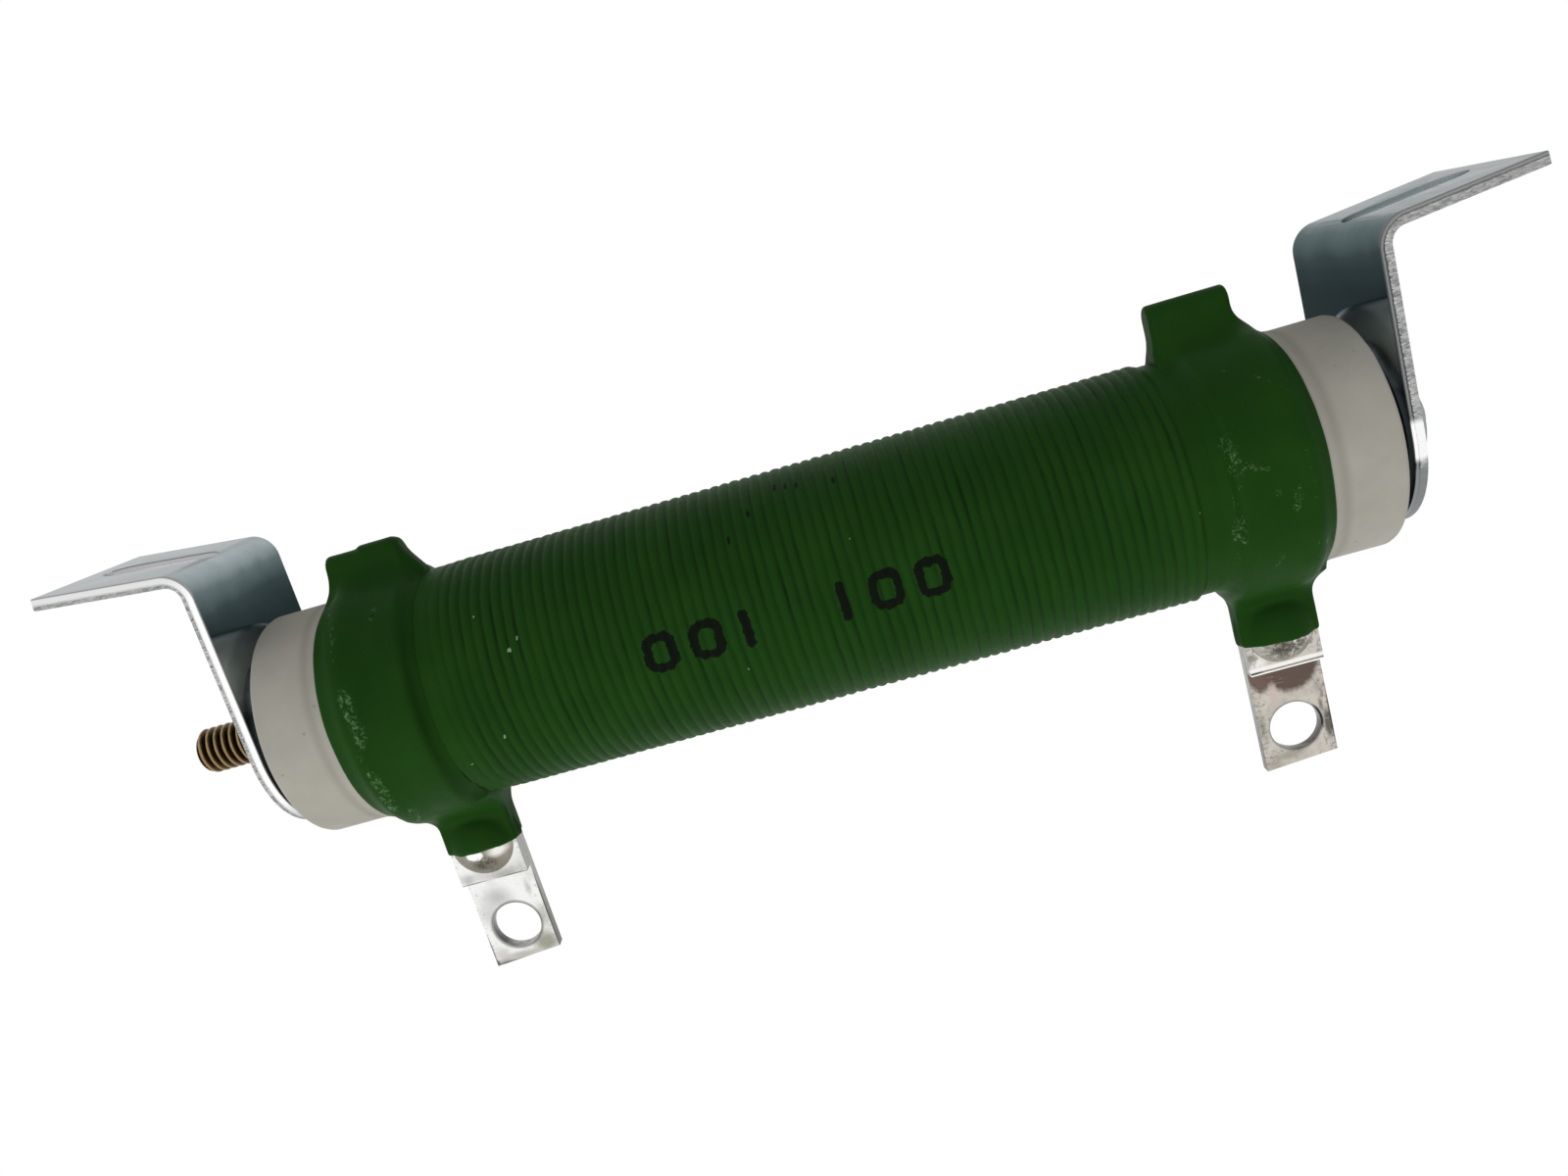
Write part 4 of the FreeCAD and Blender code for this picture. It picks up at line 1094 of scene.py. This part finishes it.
def sheet_depth(tree, place):
    """How far through the sheet a place lies, from 0 on the side of tube and panel to 1, fold included."""
    axis = add_node(tree, "SeparateXYZ", {0: place}).node.outputs
    outward = add_node(tree, "Math ABSOLUTE", {0: axis["X"]})
    into_plate = add_node(tree, "Math SUBTRACT", {0: outward, 1: plate_inner_x})
    over_fold = add_node(tree, "Math SUBTRACT", {0: axis["Z"], 1: fold_z})
    along = add_node(tree, "Math MULTIPLY", {0: into_plate, 1: math.sin(foot_slope)})
    into_foot = add_node(tree, "Math MULTIPLY_ADD", {0: over_fold, 1: math.cos(foot_slope), 2: along})
    depths = add_node(tree, "CombineXYZ", {"X": into_plate, "Y": into_foot})
    radius = (bend_outer_radius, bend_outer_radius, 0)
    from_centre = add_node(tree, "VectorMath SUBTRACT", {0: radius, 1: depths})
    in_fold = add_node(tree, "VectorMath MAXIMUM", {0: from_centre, 1: (0, 0, 0)})
    in_fold = add_node(tree, "VectorMath LENGTH", {0: in_fold})
    past = add_node(tree, "SeparateXYZ", {0: from_centre}).node.outputs
    past = add_node(tree, "Math MAXIMUM", {0: past["X"], 1: past["Y"]})
    past = add_node(tree, "Math MINIMUM", {0: past, 1: 0.0})
    reach = add_node(tree, "Math ADD", {0: in_fold, 1: past})
    depth = add_node(tree, "Math SUBTRACT", {0: bend_outer_radius, 1: reach})
    return add_node(tree, "Math DIVIDE", {0: depth, 1: sheet_thickness})


# Zinc-coated cold-rolled sheet: a blue-grey mirror, faintly streaked along the rolling. On the plates' inner
# faces, a painted reflection of dark surroundings darkens it above the folds, and within the tube's outline a
# painted reflection of the tube's end brightens it.
zinc, tree, place = start_material("zinc_coated_cold_rolled_sheet")
rolled_place = add_node(tree, "Mapping", {"Vector": place, "Scale": (1.0, 0.12, 1.0)})
streak = add_node(tree, "TexNoise", {
    "Vector": rolled_place, "Scale": 1.6, "Detail": 5.0, "Roughness": 0.65,
})
cloud = add_node(tree, "TexNoise", {"Vector": place, "Scale": 0.3, "Detail": 4.0})
both = add_node(tree, "Math MULTIPLY", {0: streak, 1: cloud})
amount = add_node(tree, "MapRange", {"Value": both, "From Min": 0.15, "From Max": 0.35})
plain = add_node(tree, "Mix RGBA", {"Factor": amount, "A": "#a3abaf", "B": "#b9bfc2"})
axis = add_node(tree, "SeparateXYZ", {0: place}).node.outputs
# Painted reflections on the inner faces: of dark surroundings, darker up the plate, and within the tube's
# outline of the tube's end, pale low down and dark as painted shade higher up.
dark_reflection_reach = 8.0
tube_reflection_y = -2.1
tube_reflection_z = 16.86
tube_reflection_radius = 9.3
uneven_z = add_node(tree, "Math MULTIPLY_ADD", {0: cloud, 1: 1.2, 2: axis["Z"]})
left_side = add_node(tree, "Math LESS_THAN", {0: axis["X"], 1: 0.0})
uneven_z = add_node(tree, "Math MULTIPLY_ADD", {0: left_side, 1: 1.5, 2: uneven_z})
up_plate = add_node(tree, "MapRange", {"Value": uneven_z, "From Min": 0.6, "From Max": 0.6 + dark_reflection_reach})
dark_reflection = add_node(tree, "ValToRGB", {"Fac": up_plate})
dark_reflection_tones = [
    (0.0, "#e6ebec"), (0.9, "#cdd3d5"), (1.9, "#a1acae"), (3.4, "#657375"), (5.2, "#3a4647"),
    (6.2, "#2f3a3b"), (dark_reflection_reach, "#252e2f"),
]
tube_end_reflection_reach = 20.0
tube_end_reflection_tones = [
    (7.8, "#a5b5bb"), (10.5, "#eef5f8"), (12.2, "#e6edf0"), (13.8, "#63696b"), (tube_end_reflection_reach, "#4a4f50"),
]
from_tube = add_node(tree, "VectorMath SUBTRACT", {0: place, 1: (0, tube_reflection_y, tube_reflection_z)})
from_tube = add_node(tree, "SeparateXYZ", {0: from_tube}).node.outputs
behind = add_node(tree, "Math MAXIMUM", {0: from_tube["Y"], 1: 0.0})
in_front = add_node(tree, "Math MINIMUM", {0: from_tube["Y"], 1: 0.0})
leaning_z = add_node(tree, "Math MULTIPLY_ADD", {0: in_front, 1: -0.134, 2: from_tube["Z"]})
from_tube = add_node(tree, "CombineXYZ", {"Y": behind, "Z": leaning_z})
from_tube = add_node(tree, "VectorMath LENGTH", {0: from_tube})
in_tube_end_reflection = add_node(tree, "MapRange", {
    "Value": from_tube, "From Min": tube_reflection_radius - 0.4, "From Max": tube_reflection_radius, "To Min": 1.0,
    "To Max": 0.0,
})
higher = add_node(tree, "MapRange", {"Value": axis["Z"], "From Min": 0.0, "From Max": tube_end_reflection_reach})
tube_end_reflection = add_node(tree, "ValToRGB", {"Fac": higher})
tone_with_painted_reflections = add_node(tree, "Mix RGBA", {"Factor": in_tube_end_reflection, "A": dark_reflection, "B": tube_end_reflection})
set_stops(dark_reflection, dark_reflection_reach, dark_reflection_tones)
set_stops(tube_end_reflection, tube_end_reflection_reach, tube_end_reflection_tones)

# Painted shade: a darker patch on the left plate beside the tube's rim.
tone_with_painted_reflections = spotted(tree, tone_with_painted_reflections, place, [((-46.0, -5.2, 12.4), (5.0, 2.4, 3.2), "#2b2f30", 0.75, 0.8)])
depth = sheet_depth(tree, place)
inside = add_node(tree, "MapRange", {
    "Value": depth, "From Min": 0.2, "From Max": 0.6, "To Min": 1.0, "To Max": 0.0,
})
tone_with_painted_reflections = add_node(tree, "Mix RGBA", {"Factor": inside, "A": plain, "B": tone_with_painted_reflections})
rough = add_node(tree, "MapRange", {
    "Value": streak, "From Min": 0.3, "From Max": 0.7, "To Min": 0.12, "To Max": 0.22,
})
shader = add_node(tree, "BsdfPrincipled", {
    "Base Color": tone_with_painted_reflections, "Metallic": 1.0, "Roughness": rough, "Specular Tint": "#bcbfc0",
})
add_node(tree, "OutputMaterial", {"Surface": shader})

# Sheared steel edge: a burnished band on the punch's side, a torn and grainy band beyond it, and a dark line
# where the face begins. It is greyer round the plate's end, and one facet of the left plate carries a painted
# highlight.
sheared, tree, place = start_material("sheared_steel_edge")
fibre_place = add_node(tree, "Mapping", {"Vector": place, "Scale": (0.45, 1.0, 1.6)})
grain = add_node(tree, "TexNoise", {
    "Vector": fibre_place, "Scale": 3.5, "Detail": 5.0, "Roughness": 0.75, "Distortion": 0.8,
})
depth = sheet_depth(tree, place)
ragged = add_node(tree, "Math MULTIPLY_ADD", {0: grain, 1: 0.25, 2: depth})
axis = add_node(tree, "SeparateXYZ", {0: place}).node.outputs
left_side = add_node(tree, "Math LESS_THAN", {0: axis["X"], 1: 0.0})
ragged = add_node(tree, "Math MULTIPLY_ADD", {0: left_side, 1: 0.25, 2: ragged})
torn = add_node(tree, "MapRange", {"Value": ragged, "From Min": 0.66, "From Max": 0.72})
torn_grain = add_node(tree, "MapRange", {"Value": grain, "From Min": 0.4, "From Max": 0.6})
torn_tone = add_node(tree, "Mix RGBA", {"Factor": torn_grain, "A": "#7f8181", "B": "#d6d7d5"})
dull = add_node(tree, "Math MULTIPLY", {0: left_side, 1: 0.15})
torn_tone = add_node(tree, "Mix RGBA", {"Factor": dull, "A": torn_tone, "B": "#4e504f"})
burnished = add_node(tree, "Mix RGBA", {"Factor": left_side, "A": "#ffffff", "B": "#858787"})
tone = add_node(tree, "Mix RGBA", {"Factor": torn, "A": burnished, "B": torn_tone})
from_border = add_node(tree, "Math SUBTRACT", {0: ragged, 1: 0.69})
from_border = add_node(tree, "Math ABSOLUTE", {0: from_border})
border = add_node(tree, "MapRange", {
    "Value": from_border, "From Min": 0.04, "From Max": 0.08, "To Min": 0.9, "To Max": 0.0,
})
border_tone = add_node(tree, "Mix RGBA", {"Factor": left_side, "A": "#f2f2f0", "B": "#3c3f3f"})
tone = add_node(tree, "Mix RGBA", {"Factor": border, "A": tone, "B": border_tone})
lip = add_node(tree, "MapRange", {
    "Value": depth, "From Min": 0.07, "From Max": 0.13, "To Min": 0.75, "To Max": 0.0,
})
tone = add_node(tree, "Mix RGBA", {"Factor": lip, "A": tone, "B": "#2c3032"})
on_foot = add_node(tree, "MapRange", {
    "Value": axis["Z"], "From Min": 1.5, "From Max": 3.5, "To Min": 0.35, "To Max": 0.0,
})
tone = add_node(tree, "Mix RGBA", {"Factor": on_foot, "A": tone, "B": "#9a9b99"})
# Painted highlight: one bright facet on the left plate's edge.
tone = spotted(tree, tone, place, [((-46.5, -9.0, 17.7), (2.0, 3.0, 2.0), "#ffffff", 0.97, 0.3)])
end_right = add_node(tree, "MapRange", {
    "Value": axis["Z"], "From Min": 21.0, "From Max": 25.0, "To Max": 0.8,
}, interpolation_type="SMOOTHSTEP")
end_left = add_node(tree, "MapRange", {
    "Value": axis["Z"], "From Min": 19.4, "From Max": 20.2, "To Max": 0.9,
}, interpolation_type="SMOOTHSTEP")
round_end = add_node(tree, "Mix", {"Factor": left_side, "A": end_right, "B": end_left})
tone = add_node(tree, "Mix RGBA", {"Factor": round_end, "A": tone, "B": "#868a8b"})
roughness = add_node(tree, "MapRange", {"Value": torn, "To Min": 0.28, "To Max": 0.55})
height = add_node(tree, "Math MULTIPLY", {0: torn, 1: grain})
bump = add_node(tree, "Bump", {"Height": height, "Strength": 0.7, "Distance": 0.08 * MM})
shader = add_node(tree, "BsdfPrincipled", {
    "Base Color": tone, "Metallic": 1.0, "Roughness": roughness, "Normal": bump,
})
add_node(tree, "OutputMaterial", {"Surface": shader})


def in_slot(place):
    """Whether a place on a bracket lies at its punched slot."""
    return abs(place.y) < slot_zone_y * MM and place.z < slot_zone_z * MM


for side, name in SIDE_NAMES.items():
    bracket = copy_of_node("mounting_bracket_" + name, "folded_bracket_" + name)
    shape = bmesh.new()
    shape.from_mesh(bracket.data)
    weight = shape.edges.layers.float.new("bevel_weight_edge")
    for edge in shape.edges:
        punched = all(in_slot(corner.co) for corner in edge.verts)
        edge[weight] = float(edge.calc_face_angle(0.0) > sharp_angle and not punched)
    shape.to_mesh(bracket.data)
    shape.free()
    settle(bracket, 0.1, zinc, "zinc_sheet", "mounting_bracket_" + name)
    bracket.data.materials.append(sheared)
    for face in bracket.data.polygons:
        across = abs(face.normal.y) > edge_facing and not (side == LEFT and in_slot(face.center))
        at_end = abs(face.normal.x) < end_facing and face.center.z > end_z * MM
        face.material_index = 1 if across or at_end else 0


# Floor and light. A pale floor just under the feet, seen only from above, fades into a white
# surround. One large soft lamp lights the front and the tabs, and a weak one the back.
floor_mesh = bpy.data.meshes.new("floor")
floor_half = 2.0
floor_z = -0.02 * MM
corner_signs = [(-1, -1), (1, -1), (1, 1), (-1, 1)]
floor_corners = [(x * floor_half, y * floor_half, floor_z) for x, y in corner_signs]
floor_mesh.from_pydata(floor_corners, [], [(0, 1, 2, 3)])
floor = new_object("floor", floor_mesh)
for ray in ("diffuse", "glossy", "transmission", "shadow"):
    setattr(floor, "visible_" + ray, False)
paper, tree, place = start_material("pale_floor")
flat_place = add_node(tree, "VectorMath MULTIPLY", {0: place, 1: (1, 1, 0)})
away = add_node(tree, "VectorMath LENGTH", {0: flat_place})
faded = add_node(tree, "MapRange", {
    "Value": away, "From Min": 70.0, "From Max": 170.0,
}, interpolation_type="SMOOTHSTEP")
matt = add_node(tree, "BsdfDiffuse", {"Color": "#f4f4f2"})
white = add_node(tree, "Emission", {"Color": (1, 1, 1, 1), "Strength": 1.0})
clear = add_node(tree, "BsdfTransparent")
seen = add_node(tree, "MixShader", {0: faded, 1: matt, 2: white})
behind = add_node(tree, "NewGeometry", read="Backfacing")
surface = add_node(tree, "MixShader", {0: behind, 1: seen, 2: clear})
add_node(tree, "OutputMaterial", {"Surface": surface})
floor_mesh.materials.append(paper)

world = bpy.data.worlds.new("white_surround")
world.use_nodes = True
tree = world.node_tree
tree.nodes.clear()
rays = add_node(tree, "LightPath").node.outputs
shown = add_node(tree, "Math MAXIMUM", {0: rays["Is Camera Ray"], 1: rays["Is Glossy Ray"]})
shown = add_node(tree, "Math MAXIMUM", {0: shown, 1: rays["Is Transmission Ray"]})
surround_level = 0.34
strength = add_node(tree, "MapRange", {"Value": shown, "To Min": surround_level, "To Max": 1.0})
background = add_node(tree, "Background", {"Color": (1, 1, 1, 1), "Strength": strength})
add_node(tree, "OutputWorld", {"Surface": background})
bpy.context.scene.world = world

# Lamps: (name, place, edge length in metres, watts).
lamps = [
    ("key_lamp", (0.22, -0.50, 0.29), 1.00, 3.5),
    ("back_lamp", (-0.20, 0.48, 0.40), 0.60, 1.4),
]
for lamp_name, lamp_place, lamp_size, watts in lamps:
    lamp_data = bpy.data.lights.new(lamp_name, "AREA")
    lamp_data.size = lamp_size
    lamp_data.energy = watts
    lamp = new_object(lamp_name, lamp_data)
    lamp.location = lamp_place
    lamp.visible_glossy = False
    aim = Vector((0, 0, AXIS_Z * MM)) - lamp.location
    lamp.rotation_mode = "QUATERNION"
    lamp.rotation_quaternion = aim.to_track_quat("-Z", "Y")

bpy.context.scene.view_settings.view_transform = "Standard"
